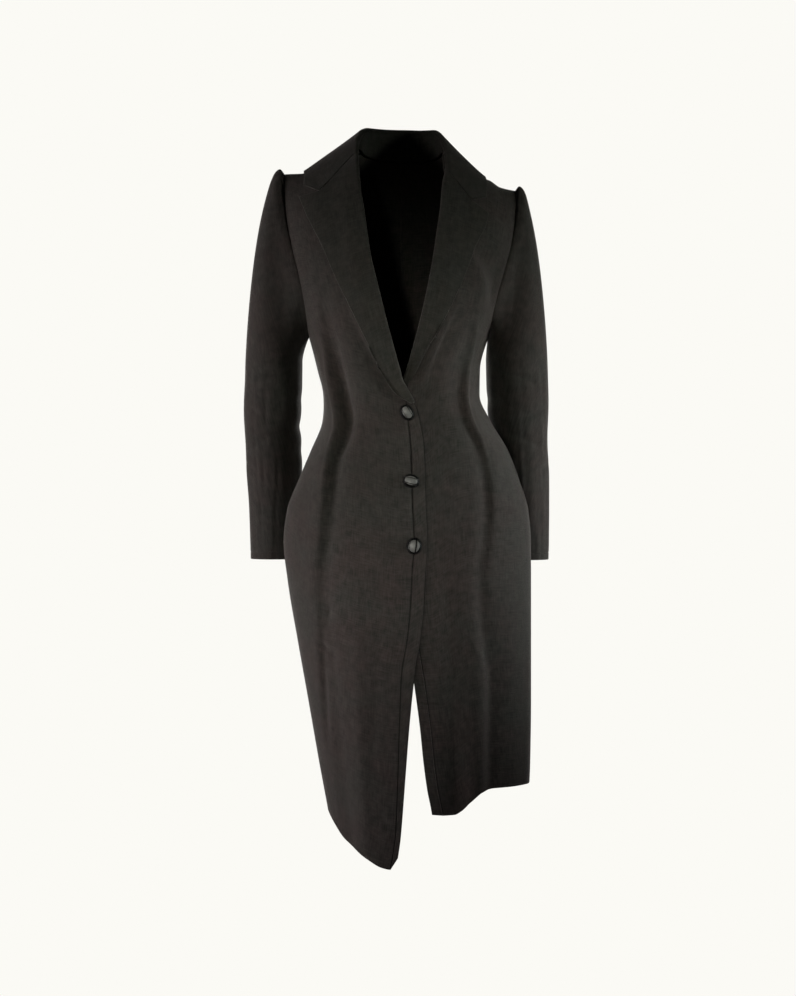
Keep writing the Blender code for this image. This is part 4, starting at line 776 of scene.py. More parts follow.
# Places round the roll, in degrees, and across the lapel to its edge, as shares
ROLL_STEPS = tuple(np.linspace(150.0, 0.0, 14))
LAPEL_STEPS = np.concatenate([np.linspace(0.02, NOTCH_SHARE, 30), np.linspace(NOTCH_SHARE, 1.0, 11)[1:]])
# The rows stand closer together towards the top
LAPEL_CROWDING = 1.15


def turned_edge_x(side, height):
    """Where the front turns over under the lapel's roll."""
    return edge_x(side, height) + side * TURNED_EDGE_INSET


def along_gorge(start, notch, point, across):
    """A place on the line from the roll to the notch and on to the point, at a share of the way."""
    if across <= NOTCH_SHARE:
        return start + (notch - start) * across / NOTCH_SHARE
    return notch + (point - notch) * (across - NOTCH_SHARE) / (1 - NOTCH_SHARE)


def roll_frame(side, height):
    """On the turned edge: the middle of the front's wall, the way out and the way into the panel."""
    place, normal = front_surface(side, turned_edge_x(side, height), height)
    above, _ = front_surface(side, turned_edge_x(side, height + STEP), height + STEP)
    along = unit(above - place)
    into = unit(np.cross(along, normal)) * side
    return place - normal * CLOTH / 2, normal, into


def roll_points(middle, normal, into, radius, degrees):
    """Places round the roll, turned by so many degrees from the way out towards the edge."""
    turn = math.radians(degrees)
    return middle + radius * (normal * math.cos(turn) - into * math.sin(turn))


def lapel_rows(side, count):
    """Heights up the roll line and the matching places on the outer edge, in the picture plane."""
    edge = np.array(LAPEL_EDGE[side])
    low, high = edge[0, 0], edge[-1, 0]
    start = GORGE_START[side][1]
    t = np.linspace(0.0, 1.0, count)
    q = t * (LAPEL_CROWDING - (LAPEL_CROWDING - 1) * t)
    height_roll = low + (start - low) * q
    height_edge = low + (high - low) * q
    return q, height_roll, height_edge, curve(LAPEL_EDGE[side], height_edge)


def lapel_grid(side, count):
    """The lapel's outer face: round the roll from behind the front's edge, then out to the lapel's edge."""
    q, height_roll, height_edge, x_edge = lapel_rows(side, count)
    middle, normal, into = roll_frame(side, height_roll)
    columns = [roll_points(middle, normal, into, ROLL_RADIUS, degrees) for degrees in ROLL_STEPS]
    x_roll = turned_edge_x(side, height_roll)
    start = np.array([turned_edge_x(side, GORGE_START[side][1]), GORGE_START[side][1]])
    notch, point = np.array(NOTCH[side]), np.array([x_edge[-1], height_edge[-1]])
    for across in LAPEL_STEPS:
        x = x_roll + (x_edge - x_roll) * across
        height = height_roll + (height_edge - height_roll) * across
        top = along_gorge(start, notch, point, across)
        bend = q ** GORGE_BEND
        shift = top - (start + (point - start) * across)
        x = x + shift[0] * bend
        height = height + shift[1] * bend
        lift = LAPEL_LIFT * bell(np.abs(x - x_roll) - LAPEL_LIFT_WIDTH, LAPEL_LIFT_WIDTH / 2) * (1 - bend)
        lift = lift + EDGE_LIFT * ease(across, EDGE_LIFT_FROM, 1.0) * bell(q - EDGE_LIFT_AT, EDGE_LIFT_SPREAD)
        lift = lift + NOTCH_LIFT * ease(across, NOTCH_LIFT_FROM, 1.0) * ease(q, NOTCH_LIFT_FROM, 1.0)
        columns.append(front_surface(side, x, height, LAYER_GAP + lift + TURNED_CLOTH)[0])
    return np.stack(columns, axis=1)


# The lapels and the collar get a darker, more neutral copy of the charcoal cloth, a little smoother and with
# less sheen
DARKER_CHARCOAL = cloth_finish("darker charcoal cloth", low=(0.0090, 0.0092, 0.0072), high=(0.0260, 0.0258, 0.0212),
                       warm=(1.08, 0.98, 0.95), roughness=0.86, sheen=0.20)

for name, side in (("lapel_right", RIGHT), ("lapel_left", LEFT)):
    piece = sheet_of_cloth(name + "_cloth", lapel_grid(side, count=150), TURNED_CLOTH, DARKER_CHARCOAL, side)
    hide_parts(name)
    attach(piece, "root")


# Collar
# The collar is one interfaced piece: a stand sewn round the neck, a fold, and a leaf that falls to the
# shoulders and meets each lapel along the gorge.
NECK_GAP, COLLAR_GAP = 0.0018, 0.0012
# Fold line: (share of the way round from the right front, -1, to the left front, 1; x, y, z; outward x, y, z)
COLLAR_FOLD = (
    (-0.86, -0.0670, -0.0210, 0.0545, -0.46, -0.40, 0.79),
    (-0.68, -0.0630, 0.0020, 0.0755, -0.64, 0.06, 0.76),
    (-0.45, -0.0510, 0.0340, 0.0890, -0.74, 0.40, 0.54),
    (-0.22, -0.0290, 0.0560, 0.0915, -0.42, 0.88, 0.22),
    (0.00, 0.0000, 0.0640, 0.0920, 0.00, 0.98, 0.20),
    (0.22, 0.0290, 0.0550, 0.0895, 0.42, 0.88, 0.22),
    (0.45, 0.0515, 0.0330, 0.0855, 0.74, 0.40, 0.54),
    (0.68, 0.0630, 0.0000, 0.0670, 0.64, 0.06, 0.76),
    (0.86, 0.0675, -0.0270, 0.0400, 0.46, -0.40, 0.79),
)
# The collar's two points, seen from the front: (across, height)
COLLAR_POINT = {RIGHT: (-0.1496, -0.0175), LEFT: (0.1305, -0.0385)}
# Outer edge: (share, across, degrees over the shoulder from the front)
COLLAR_EDGE = (
    (-1.00, -0.1486, 61.8), (-0.86, -0.1525, 78.0), (-0.68, -0.1440, 98.0), (-0.45, -0.1100, 118.0),
    (-0.22, -0.0560, 133.5), (0.00, 0.0000, 141.0), (0.22, 0.0500, 135.5), (0.45, 0.0960, 119.0),
    (0.68, 0.1240, 98.0), (0.86, 0.1320, 78.0), (1.00, 0.1340, 55.0),
)
# Where the neck seam turns from the backs to the fronts, as a share of the way and in metres from the middle
NECK_CORNER, NECK_HALF = 0.70, 0.0715
# Places up the stand and round the fold, and across the leaf to its edge
STAND_STEPS = tuple(np.linspace(0.0, 0.9, 8))
STAND_TURNS = tuple(np.linspace(168.0, 151.0, 8))
FOLD_STEPS = tuple(np.linspace(180.0, 0.0, 14))
LEAF_STEPS = tuple(np.concatenate([np.linspace(0.04, NOTCH_SHARE, 24), np.linspace(NOTCH_SHARE, 1.0, 9)[1:]]))
# The leaf's curve from the fold to the edge, as shares of the way between them
LEAF_START, LEAF_RISE, LEAF_SWELL = 0.20, 0.12, 0.04
LEAF_END, LEAF_LAND = 0.30, 0.02
# The collar's point stands off the front, from this share of the way across
TIP_LIFT, TIP_LIFT_FROM = 0.0032, 0.45
# The leaf is lifted clear of the shoulders in a few rounds, with a soft start
CLEARING_ROUNDS, LIFT_SOFTNESS = 3, 0.0004
# Sections from the centre back to each front
COLLAR_SHARES = (0.0, 0.11, 0.22, 0.33, 0.45, 0.57, 0.68, 0.77, 0.85, 0.91, 0.96)
# Short steps over which slopes are taken
SHARE_STEP, DEGREE_STEP, CLEARING_STEP = 0.01, 0.2, 0.0004


def shoulder_surface(x, degrees):
    """A point over the shoulder (0 degrees at the front, 90 on the seam, 180 at the back) and the way out."""
    def place(x, degrees):
        turn = math.radians(degrees)
        height = CHEST_HEIGHT + (float(curve(SHOULDER, x)) - CHEST_HEIGHT) * math.sin(turn)
        face = FRONT if degrees < 90.0 else BACK
        middle, half = middle_and_half(height)
        across = rounded(np.clip((x - middle) / half, -1, 1), squareness(face, height))
        closing = rounded(math.sin(turn), SHOULDER_SQUARENESS)
        return np.array([x, face * float(depth(face, height) * across * closing), height])
    step_x = place(x + STEP, degrees) - place(x - STEP, degrees)
    step_turn = place(x, degrees + DEGREE_STEP) - place(x, degrees - DEGREE_STEP)
    return place(x, degrees), unit(np.cross(step_x, step_turn))


def clear_of_shoulders(places, gap):
    """Moves places that are nearer to the shoulders than the gap, or inside them, out to it."""
    def outside(places):
        x, y, height = places[:, 0], places[:, 1], places[:, 2]
        middle, half = middle_and_half(height)
        across = rounded(np.clip((x - middle) / half, -1, 1), squareness(np.sign(y), height))
        reach = depth(np.sign(y), height) * across
        up = np.maximum((height - CHEST_HEIGHT) / (curve(SHOULDER, x) - CHEST_HEIGHT), 0.0)
        out = np.abs(y) / reach
        return (out ** SHOULDER_SQUARENESS + up ** SHOULDER_SQUARENESS) ** (1 / SHOULDER_SQUARENESS) - 1
    for _ in range(CLEARING_ROUNDS):
        steps = [outside(places + step) - outside(places - step) for step in np.eye(3) * CLEARING_STEP]
        slope = np.stack(steps, axis=-1) / (2 * CLEARING_STEP)
        steep = np.linalg.norm(slope, axis=-1)
        near = gap - outside(places) / steep
        places = places + unit(slope) * (np.logaddexp(0.0, near / LIFT_SOFTNESS) * LIFT_SOFTNESS)[:, None]
    return places


def neck_seam(share):
    """The panels' neck edge, on their outer face, and the way out of them."""
    side = LEFT if share > 0 else RIGHT
    s = abs(share) / NECK_CORNER
    if s <= 1.0:
        x = side * NECK_HALF * math.sin(math.radians(90.0) * s)
        return shoulder_surface(x, 180.0 - float(curve(BACK_NECK, abs(x))))
    top, low = float(curve(SHOULDER, side * NECK_HALF)), GORGE_START[side][1]
    height = np.array([top + (low - top) * (s - 1) / (1 / NECK_CORNER - 1)])
    place, out = front_surface(side, seam_x(side, height), height)
    return place[0], out[0]


def front_end_of_collar(side):
    """The collar's section along the gorge: round the front's edge and on to the collar's point."""
    start_height = GORGE_START[side][1]
    middle, normal, into = (part[0] for part in roll_frame(side, np.array([start_height])))
    outer = [roll_points(middle, normal, into, ROLL_RADIUS, degrees) for degrees in STAND_TURNS + ROLL_STEPS]
    start = np.array([turned_edge_x(side, start_height), start_height])
    notch, point = np.array(NOTCH[side]), np.array(COLLAR_POINT[side])
    for across in LEAF_STEPS:
        place = along_gorge(start, notch, point, across)
        lift = COLLAR_GAP + TIP_LIFT * ease(across, TIP_LIFT_FROM, 1.0)
        under, out = front_surface(side, np.array([place[0]]), np.array([place[1]]), lift)
        outer.append(under[0] + out[0] * TURNED_CLOTH)
    return np.array(outer)


def fold_rows():
    """The fold's table with both ends of the fold, where it runs on into the lapels' roll lines."""
    rows = list(COLLAR_FOLD)
    for side in (RIGHT, LEFT):
        height = np.array([GORGE_START[side][1]])
        middle, normal, into = (part[0] for part in roll_frame(side, height))
        rows.append((float(side), *(middle - into * ROLL_RADIUS), *normal))
    return rows


def collar_section(share, rows):
    """One section across the collar, from the neck seam over the fold to the outer edge."""
    def row_at(share, columns):
        return np.array([float(curve(rows, share, k)) for k in columns])

    fold = row_at(share, (1, 2, 3))
    outward = row_at(share, (4, 5, 6))
    along = unit(row_at(share + SHARE_STEP, (1, 2, 3)) - row_at(share - SHARE_STEP, (1, 2, 3)))
    outward = unit(outward - along * float(outward @ along))
    upward = np.cross(along, outward)
    middle = fold - upward * ROLL_RADIUS
    seam, seam_out = neck_seam(share)
    seam_along = neck_seam(share + SHARE_STEP)[0] - neck_seam(share - SHARE_STEP)[0]
    into = unit(np.cross(seam_out, seam_along))
    top = middle - outward * ROLL_RADIUS
    foot = seam - seam_out * CLOTH - into * (NECK_GAP + TURNED_CLOTH)
    outer = [foot + (top - foot) * rise for rise in STAND_STEPS]
    for degrees in FOLD_STEPS:
        turn = math.radians(degrees)
        outer.append(middle + ROLL_RADIUS * (outward * math.cos(turn) + upward * math.sin(turn)))
    end, end_out = shoulder_surface(float(curve(COLLAR_EDGE, share)), float(curve(COLLAR_EDGE, share, 2)))
    end = end + end_out * (COLLAR_GAP + TURNED_CLOTH)
    start = outer[-1]
    reach = float(np.linalg.norm(end - start))
    first = start + (end - start) * LEAF_START - upward * reach * LEAF_RISE + outward * reach * LEAF_SWELL
    last = end + (start - end) * LEAF_END + end_out * reach * LEAF_LAND
    leaf, ways_out = [], []
    for s in LEAF_STEPS:
        r = 1 - s
        place = r ** 3 * start + 3 * s * r * r * first + 3 * s * s * r * last + s ** 3 * end
        slope = 3 * r * r * (first - start) + 6 * s * r * (last - first) + 3 * s * s * (end - last)
        out = unit(outward - slope * float(outward @ slope) / float(slope @ slope))
        out = unit(out * (1 - s) + end_out * s)
        leaf.append(place - out * TURNED_CLOTH)
        ways_out.append(out)
    leaf = clear_of_shoulders(np.array(leaf), COLLAR_GAP)
    outer.extend(leaf + np.array(ways_out) * TURNED_CLOTH)
    return np.array(outer)


def collar_grid(count):
    """The collar's outer face, smooth through the sections."""
    rows = fold_rows()
    shares = [-share for share in COLLAR_SHARES[:0:-1]] + list(COLLAR_SHARES)
    sections = [front_end_of_collar(RIGHT)]
    sections.extend(collar_section(share, rows) for share in shares)
    sections.append(front_end_of_collar(LEFT))
    at = np.linspace(0, len(sections) - 1, count)
    table = np.array(sections)
    rows = []
    for k in range(table.shape[1]):
        line = [(number, *place) for number, place in enumerate(table[:, k])]
        rows.append(np.stack([curve(line, at, column) for column in (1, 2, 3)], axis=-1))
    return np.array(rows)


piece = sheet_of_cloth("collar_cloth", collar_grid(count=170), TURNED_CLOTH, DARKER_CHARCOAL, 1)
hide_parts("collar")
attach(piece, "root")


# Sleeves
# Each sleeve is set into the armhole with its head eased in small gathers, which stand up as a roped ridge,
# and hangs slightly bent at the elbow down to a plain turned-in cuff.
# Sections down the arm: (height, centre across, centre behind the side seam, half width, half depth)
SLEEVE = {
    RIGHT: ((-0.285, -0.2015, 0.012, 0.0432, 0.0515), (-0.34, -0.203, 0.022, 0.0445, 0.0505),
        (-0.379, -0.2046, 0.03, 0.0437, 0.0485), (-0.442, -0.2033, 0.042, 0.0425, 0.045),
        (-0.505, -0.2028, 0.053, 0.04, 0.0425), (-0.569, -0.2035, 0.064, 0.038, 0.041),
        (-0.6, -0.2038, 0.068, 0.0372, 0.0405)),
    LEFT: ((-0.285, 0.184, 0.018, 0.047, 0.0515), (-0.34, 0.1862, 0.034, 0.048, 0.05),
        (-0.4, 0.19, 0.056, 0.0448, 0.047), (-0.46, 0.1955, 0.077, 0.0418, 0.044),
        (-0.53, 0.2005, 0.089, 0.0384, 0.042), (-0.602, 0.202, 0.095, 0.0368, 0.0405)),
}
# The share of the sleeve's length from the shoulder down to the plain tube
SLEEVE_CAP_SHARE = 0.42
# Round the armhole from the shoulder (0) to the underarm (180): (degrees, outward pull, drop at the arm)
CAP_PULL = {
    RIGHT: ((0.0, 0.105, 0.33), (60.0, 0.09, 0.24), (110.0, 0.045, 0.12), (150.0, 0.014, 0.06),
        (180.0, 0.006, 0.04)),
    LEFT: ((0.0, 0.08, 0.3), (60.0, 0.08, 0.24), (110.0, 0.045, 0.12), (150.0, 0.014, 0.06),
        (180.0, 0.006, 0.04)),
}
# The head's ridge, how far it stands up round the armhole: (degrees, rise)
CAP_PUFF = ((0.0, 0.0062), (40.0, 0.0060), (75.0, 0.0030), (120.0, 0.0), (180.0, 0.0))
PUFF_AT, PUFF_WIDTH, PUFF_START = 0.09, 0.14, 0.034
PUFF_OUT, PUFF_FORWARD = 0.35, 0.90
CAP_FORWARD = 0.08
# Creases, broad ones at the elbow first: (height, depth, degrees round the sleeve, spread, width, slant)
SLEEVE_CREASES = ((-0.35, 0.0022, 150.0, 55.0, 0.011, 0.01), (-0.392, 0.003, 160.0, 60.0, 0.011, 0.01),
    (-0.432, 0.0022, 150.0, 50.0, 0.011, 0.01), (-0.318, 0.0014, 75.0, 34.0, 0.006, 0.022),
    (-0.368, 0.0016, 62.0, 30.0, 0.0055, -0.016), (-0.412, 0.0018, 70.0, 36.0, 0.006, 0.02),
    (-0.455, 0.0013, 40.0, 28.0, 0.0055, -0.014), (-0.5, 0.0012, 110.0, 30.0, 0.006, 0.018),
    (-0.405, 0.0022, 262.0, 40.0, 0.007, -0.02), (-0.44, 0.002, 285.0, 36.0, 0.0065, 0.018),
    (-0.365, 0.0018, 270.0, 38.0, 0.0065, 0.016), (-0.52, 0.0012, 250.0, 32.0, 0.006, -0.015))
# Gathers in the head: height, width, length and seed
GATHER, GATHER_WIDE, GATHER_LONG, GATHER_SEED = 0.0016, 0.0085, 0.16, 53
# As shares of the way down the cap: where they are full, where they stand highest, and how far they fade
GATHER_FULL, GATHER_AT, GATHER_FADE = 0.035, 0.05, 0.085
# Metres of their pattern down the cap and before the shoulder, and the turns' cosines between which they fade
GATHER_RUN, GATHER_FROM, GATHER_TURNS = 0.4, 0.1, (-0.25, 0.45)
# Girth of the sleeve
SLEEVE_ROUND = 0.36
# Swellings on either half of the round: (which half, width, length)
SWELLINGS = ((-1, 0.030, 0.075), (1, 0.024, 0.055))
SWELL, SWELL_APART, SWELL_SEED, SWELL_FULL = 0.0009, 0.3, 31, 0.15
# A short step down the arm, to find which way it hangs
ARM_STEP = 0.01
SEAM_TUCK = 0.0011
HEAD_END, HEAD_ROWS, CUFF_START, CUFF_ROWS = 0.10, 40, 0.97, 30
CUFF_TURN_UP, CUFF_LINE, CUFF_LINE_WIDTH = 0.0115, 0.0007, 0.0011


def armhole_points(side, degrees):
    """The armhole's loop, 0 at the shoulder, 90 at the front, 180 at the underarm and 270 at the back."""
    down = np.where(degrees <= 180.0, degrees, 360.0 - degrees)
    places = {}
    for face in (FRONT, BACK):
        bottom = curve(HEM[side, face], 1.0)
        lowest = (UNDERARM_HEIGHT - bottom) / (CHEST_HEIGHT - bottom) * CHEST_ROW
        fall = (1 - np.cos(np.radians(down))) / 2
        places[face] = np.stack(panel_place(side, face, 1.0, 1 - (1 - lowest) * fall), axis=-1)
    return np.where((degrees <= 180.0)[..., None], places[FRONT], places[BACK])


def sleeve_ring(side, degrees, height):
    """Places round the plain sleeve at a height."""
    turn = np.radians(degrees)
    centre_x, centre_y, half_x, half_y = (curve(SLEEVE[side], height, k) for k in (1, 2, 3, 4))
    across = centre_x + side * half_x * np.cos(turn)
    return np.stack(np.broadcast_arrays(across, centre_y - half_y * np.sin(turn), height), axis=-1)


def sleeve_surface(side, degrees, share):
    """Places on the sleeve's outer face: degrees round from the shoulder, and a share of the way down."""
    degrees, share = np.broadcast_arrays(degrees % 360.0, share)
    turn = np.radians(degrees)
    down = np.where(degrees <= 180.0, degrees, 360.0 - degrees)
    arm_top, cuff = (pick(row[0] for row in SLEEVE[side]) for pick in (max, min))
    # The tube, with its creases
    s = np.clip((share - SLEEVE_CAP_SHARE) / (1 - SLEEVE_CAP_SHARE), 0.0, 1.0)
    height = arm_top + (cuff - arm_top) * s
    tube = sleeve_ring(side, degrees, height)
    inward = np.stack([-side * np.cos(turn), np.sin(turn), 0 * turn], axis=-1)
    for at, deep, centre, spread, width, lean in SLEEVE_CREASES:
        round_it = (degrees - centre + 180.0) % 360.0 - 180.0
        slant = at + lean * np.sin(np.radians(round_it))
        tube = tube + inward * (deep * bell(height - slant, width) * bell(round_it, spread))[..., None]
    # Soft swellings, which meet where the round closes, and the line of the turned-in cuff
    swell = 0.0
    for way, wide, tall in SWELLINGS:
        across = SLEEVE_ROUND / 2 * (1 + way * np.cos(turn))
        here = SWELL * unevenness(across, height + SWELL_APART * way, wide, tall, SWELL_SEED + side)
        swell = swell + here * np.abs(np.sin(turn / 2 + (way > 0) * math.pi / 2))
    line = CUFF_LINE * bell(height - cuff - CUFF_TURN_UP, CUFF_LINE_WIDTH)
    tube = tube + inward * ((swell * ease(s, 0.0, SWELL_FULL) + line)[..., None])
    # The cap, eased over the shoulder
    s = np.clip(share / SLEEVE_CAP_SHARE, 0.0, 1.0)[..., None]
    start = armhole_points(side, degrees)
    end = sleeve_ring(side, degrees, np.full(degrees.shape, arm_top))
    below = sleeve_ring(side, degrees, np.full(degrees.shape, arm_top - ARM_STEP))
    pull = curve(CAP_PULL[side], down, 1)
    leave = np.stack([side * pull, -CAP_FORWARD * pull * np.sin(turn), 0 * pull], axis=-1)
    arrive = unit(below - end) * curve(CAP_PULL[side], down, 2)[..., None]
    cap = ((1 + 2 * s) * (1 - s) ** 2 * start + s * (1 - s) ** 2 * leave
           + s * s * (3 - 2 * s) * end + s * s * (s - 1) * arrive)
    forward = -PUFF_FORWARD * np.sin(turn)
    away = unit(np.stack([side * PUFF_OUT + 0 * turn, forward, np.maximum(np.cos(turn), 0.0)], axis=-1))
    puff = bell(np.maximum(s - PUFF_AT, 0.0), PUFF_WIDTH) * ease(s, 0.0, PUFF_START)
    cap = cap + away * (curve(CAP_PUFF, down)[..., None] * puff)
    # The head's gathers: uneven ripples that fade down the sleeve and towards the underarm
    down_cap = s[..., 0]
    round_it = degrees / 360.0 * SLEEVE_ROUND + GATHER_FROM
    ripple = unevenness(round_it, down_cap * GATHER_RUN, GATHER_WIDE, GATHER_LONG, GATHER_SEED + side)
    ripple = ripple * bell(down_cap - GATHER_AT, GATHER_FADE) * ease(down_cap, 0.0, GATHER_FULL)
    ripple = ripple * ease(np.cos(turn), *GATHER_TURNS)
    cap = cap + away * (GATHER * ripple)[..., None]
    # Its edge is tucked a little way under the panels' edges
    cap[..., 0] -= side * SEAM_TUCK * (1 - down_cap)
    return np.where((share >= SLEEVE_CAP_SHARE)[..., None], tube, cap)


def sleeve_grid(side, rows, columns):
    """The sleeve's outer face, closed round the arm, with finer rows at the head and the cuff."""
    turns = 180.0 + np.arange(columns) * 360.0 / columns
    parts = (np.linspace(0.0, HEAD_END, HEAD_ROWS), np.linspace(HEAD_END, CUFF_START, rows)[1:],
             np.linspace(CUFF_START, 1.0, CUFF_ROWS)[1:])
    share, degrees = np.meshgrid(np.concatenate(parts), turns, indexing="ij")
    return sleeve_surface(side, degrees, share)


for name, side in (("sleeve_right", RIGHT), ("sleeve_left", LEFT)):
    grid = sleeve_grid(side, rows=150, columns=200)
    piece = sheet_of_cloth(name + "_cloth", grid, CLOTH, CHARCOAL, -side, closed=True)
    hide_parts(name)
    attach(piece, "root")


# Buttons
# Three knot buttons: a strip of dark glossy leather is wound into an oval dome, and its turns leave slits
# between them. Each is sewn through the seam of the right band, turned a little its own way.
BUTTON_HEIGHT, BUTTON_EDGE = 0.0078, 0.0016
BUTTON_CLEARANCE, BUTTON_GAP = 2.0, 0.0003
# The ball is cut off below, and its rest is pressed to a height of 1
BALL_CUT = -0.34
DOME_TOP = BALL_CUT + 1.0
FOOT_FLARE, DOME_SHARE = 1.25, 1.16
# Half the width of a slit's groove on the ball, its lower end, and how near to a cut a point counts as on it
GROOVE, GROOVE_END, ON_THE_CUT = 0.10, -0.2, 0.004
# Painted shade, near black: where the dome is steeper than this, and near slits deeper than the shallow ones
RIM_SLOPE, SLIT_WIDTH, SHALLOW = 0.86, 0.42, 0.10
# Each button: name, across, height, length, width, degrees turned, and its slits: how far off the middle at
# the top and at the foot, as shares of half the width, and how deep
BUTTONS = (
    ("button_1", 0.0091, -0.3713, 0.0215, 0.0165, -58.0, ((0.52, 0.66, 0.14), (-0.56, -0.40, 0.10))),
    ("button_2", 0.0152, -0.4762, 0.0215, 0.0170, -14.0, ((0.46, 0.26, 0.12), (-0.52, -0.30, 0.20))),
    ("button_3", 0.0198, -0.5750, 0.0215, 0.0190, 84.0, ((-0.26, -0.14, 0.30), (0.72, 0.52, 0.12))),
)

LEATHER = bpy.data.materials.new("button leather")
LEATHER.use_nodes = True
tree = LEATHER.node_tree
shader = tree.nodes["Principled BSDF"]
set_up(shader, {"Specular IOR Level": 0.55, "Coat Weight": 0.12, "Coat Roughness": 0.30})
place = node(tree, "TexCoord")
grain = node(tree, "TexVoronoi", Scale=1500.0)
join(tree, place, "Object", grain, "Vector")
rub = node(tree, "TexNoise", Scale=420.0, Detail=3.0)
join(tree, place, "Object", rub, "Vector")
tone = node(tree, "Mix", data_type="RGBA")
tone.inputs[6].default_value = (0.040, 0.040, 0.036, 1.0)
tone.inputs[7].default_value = (0.085, 0.084, 0.078, 1.0)
join(tree, rub, 0, tone, 0)
join(tree, tone, 2, shader, "Base Color")
polish = node(tree, "MapRange", **{"To Min": 0.36, "To Max": 0.54})
join(tree, rub, 0, polish, 0)
join(tree, polish, 0, shader, "Roughness")
bump = node(tree, "Bump", Strength=0.25, Distance=0.0002)
join(tree, grain, "Distance", bump, "Height")
join(tree, bump, "Normal", shader, "Normal")
# Painted shade: a near-black copy of the leather, without its gloss, for the steep rim, the foot and the
# slits
SHADED_LEATHER = LEATHER.copy()
SHADED_LEATHER.name = "button leather with painted shade"
shader = SHADED_LEATHER.node_tree.nodes["Principled BSDF"]
set_up(shader, {"Specular IOR Level": 0.05, "Coat Weight": 0.0})
for socket, colour in ((6, (0.002, 0.002, 0.002, 1.0)), (7, (0.005, 0.005, 0.005, 1.0))):
    SHADED_LEATHER.node_tree.nodes["Mix"].inputs[socket].default_value = colour

for name, x, height, length, width, turn_degrees, slits in BUTTONS:
    bpy.ops.object.select_all(action="DESELECT")
    bpy.ops.mesh.primitive_uv_sphere_add(segments=48, ring_count=32, radius=1.0)
    piece = bpy.context.object
    piece.name = name + "_knot"
    bpy.ops.object.mode_set(mode="EDIT")
    # Cut off below, with the foot flared
    bpy.ops.mesh.select_all(action="SELECT")
    bpy.ops.mesh.bisect(plane_co=(0, 0, BALL_CUT), plane_no=(0, 0, 1), use_fill=True, clear_inner=True)
    bpy.ops.mesh.select_all(action="SELECT")
    bpy.ops.transform.resize(value=(1.0, 1.0, 1 / (1.0 - BALL_CUT)), center_override=(0, 0, BALL_CUT))
    bpy.ops.object.mode_set(mode="OBJECT")
    for part in (piece.data.vertices, piece.data.edges, piece.data.polygons):
        for bit in part:
            bit.select = False
    for vertex in piece.data.vertices:
        vertex.select = vertex.co.z < BALL_CUT + ON_THE_CUT
    bpy.ops.object.mode_set(mode="EDIT")
    bpy.ops.mesh.select_mode(type="VERT")
    bpy.ops.transform.resize(value=(FOOT_FLARE, FOOT_FLARE, 1.0), center_override=(0, 0, BALL_CUT))
    # The slits: three cuts side by side, and the middle one is pressed in
    for top, foot, deep in slits:
        lean = top - foot
        for aside in (-GROOVE, 0.0, GROOVE):
            bpy.ops.mesh.select_all(action="SELECT")
            bpy.ops.mesh.bisect(plane_co=(0, top + aside, DOME_TOP), plane_no=(0, 1, -lean))
        bpy.ops.object.mode_set(mode="OBJECT")
        for part in (piece.data.edges, piece.data.polygons):
            for bit in part:
                bit.select = False
        for vertex in piece.data.vertices:
            off = vertex.co.y - top - lean * (vertex.co.z - DOME_TOP)
            vertex.select = abs(off) < ON_THE_CUT and vertex.co.z > GROOVE_END
        bpy.ops.object.mode_set(mode="EDIT")
        bpy.ops.transform.resize(value=(1 - deep, 1 - deep / 2, 1 - deep), center_override=(0, 0, BALL_CUT))
    bpy.ops.mesh.select_all(action="SELECT")
    bpy.ops.transform.translate(value=(0, 0, -BALL_CUT))
    half = (length / 2 * DOME_SHARE, width / 2 * DOME_SHARE, BUTTON_HEIGHT)
    bpy.ops.transform.resize(value=half, center_override=(0, 0, 0))
    bpy.ops.object.mode_set(mode="OBJECT")
    rounding = piece.modifiers.new("rounding", "SUBSURF")
    rounding.levels = rounding.render_levels = 1
    bpy.ops.object.modifier_apply(modifier="rounding")
    bpy.ops.object.shade_smooth()
    # Painted shade: the steep rim, the foot and the slits take the near-black leather
    piece.data.materials.append(LEATHER)
    piece.data.materials.append(SHADED_LEATHER)
    for face in piece.data.polygons:
        aside, above = face.center.y / half[1], face.center.z / half[2]
        in_slit = [abs(aside - top - (top - foot) * (above - 1.0)) < SLIT_WIDTH * (deep - SHALLOW)
                   for top, foot, deep in slits]
        face.material_index = int(face.normal.z < RIM_SLOPE or face.center.z < BUTTON_EDGE or any(in_slit))
    # Its seat on the right front
    foot, out = (part[0] for part in front_surface(RIGHT, np.array([x]), np.array([height])))
    around = np.radians(np.arange(0, 360, 30))
    cloth, _ = front_surface(RIGHT, x + length / 2 * np.cos(around), height + length / 2 * np.sin(around))
    foot = foot + out * (BUTTON_CLEARANCE * max(float(np.max((cloth - foot) @ out)), 0.0) + BUTTON_GAP)
    up = unit(np.array([0.0, 0.0, 1.0]) - out * out[2])
    across = np.cross(up, out)
    turn = math.radians(turn_degrees)
    long_way = across * math.cos(turn) + up * math.sin(turn)
    short_way = up * math.cos(turn) - across * math.sin(turn)
    ways = np.stack([long_way, short_way, out], axis=1)
    piece.matrix_world = Matrix([(*row, at) for row, at in zip(ways, foot)] + [(0, 0, 0, 1)])
    bpy.ops.object.transform_apply(location=True, rotation=True, scale=True)
    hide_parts(name)
    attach(piece, "root")


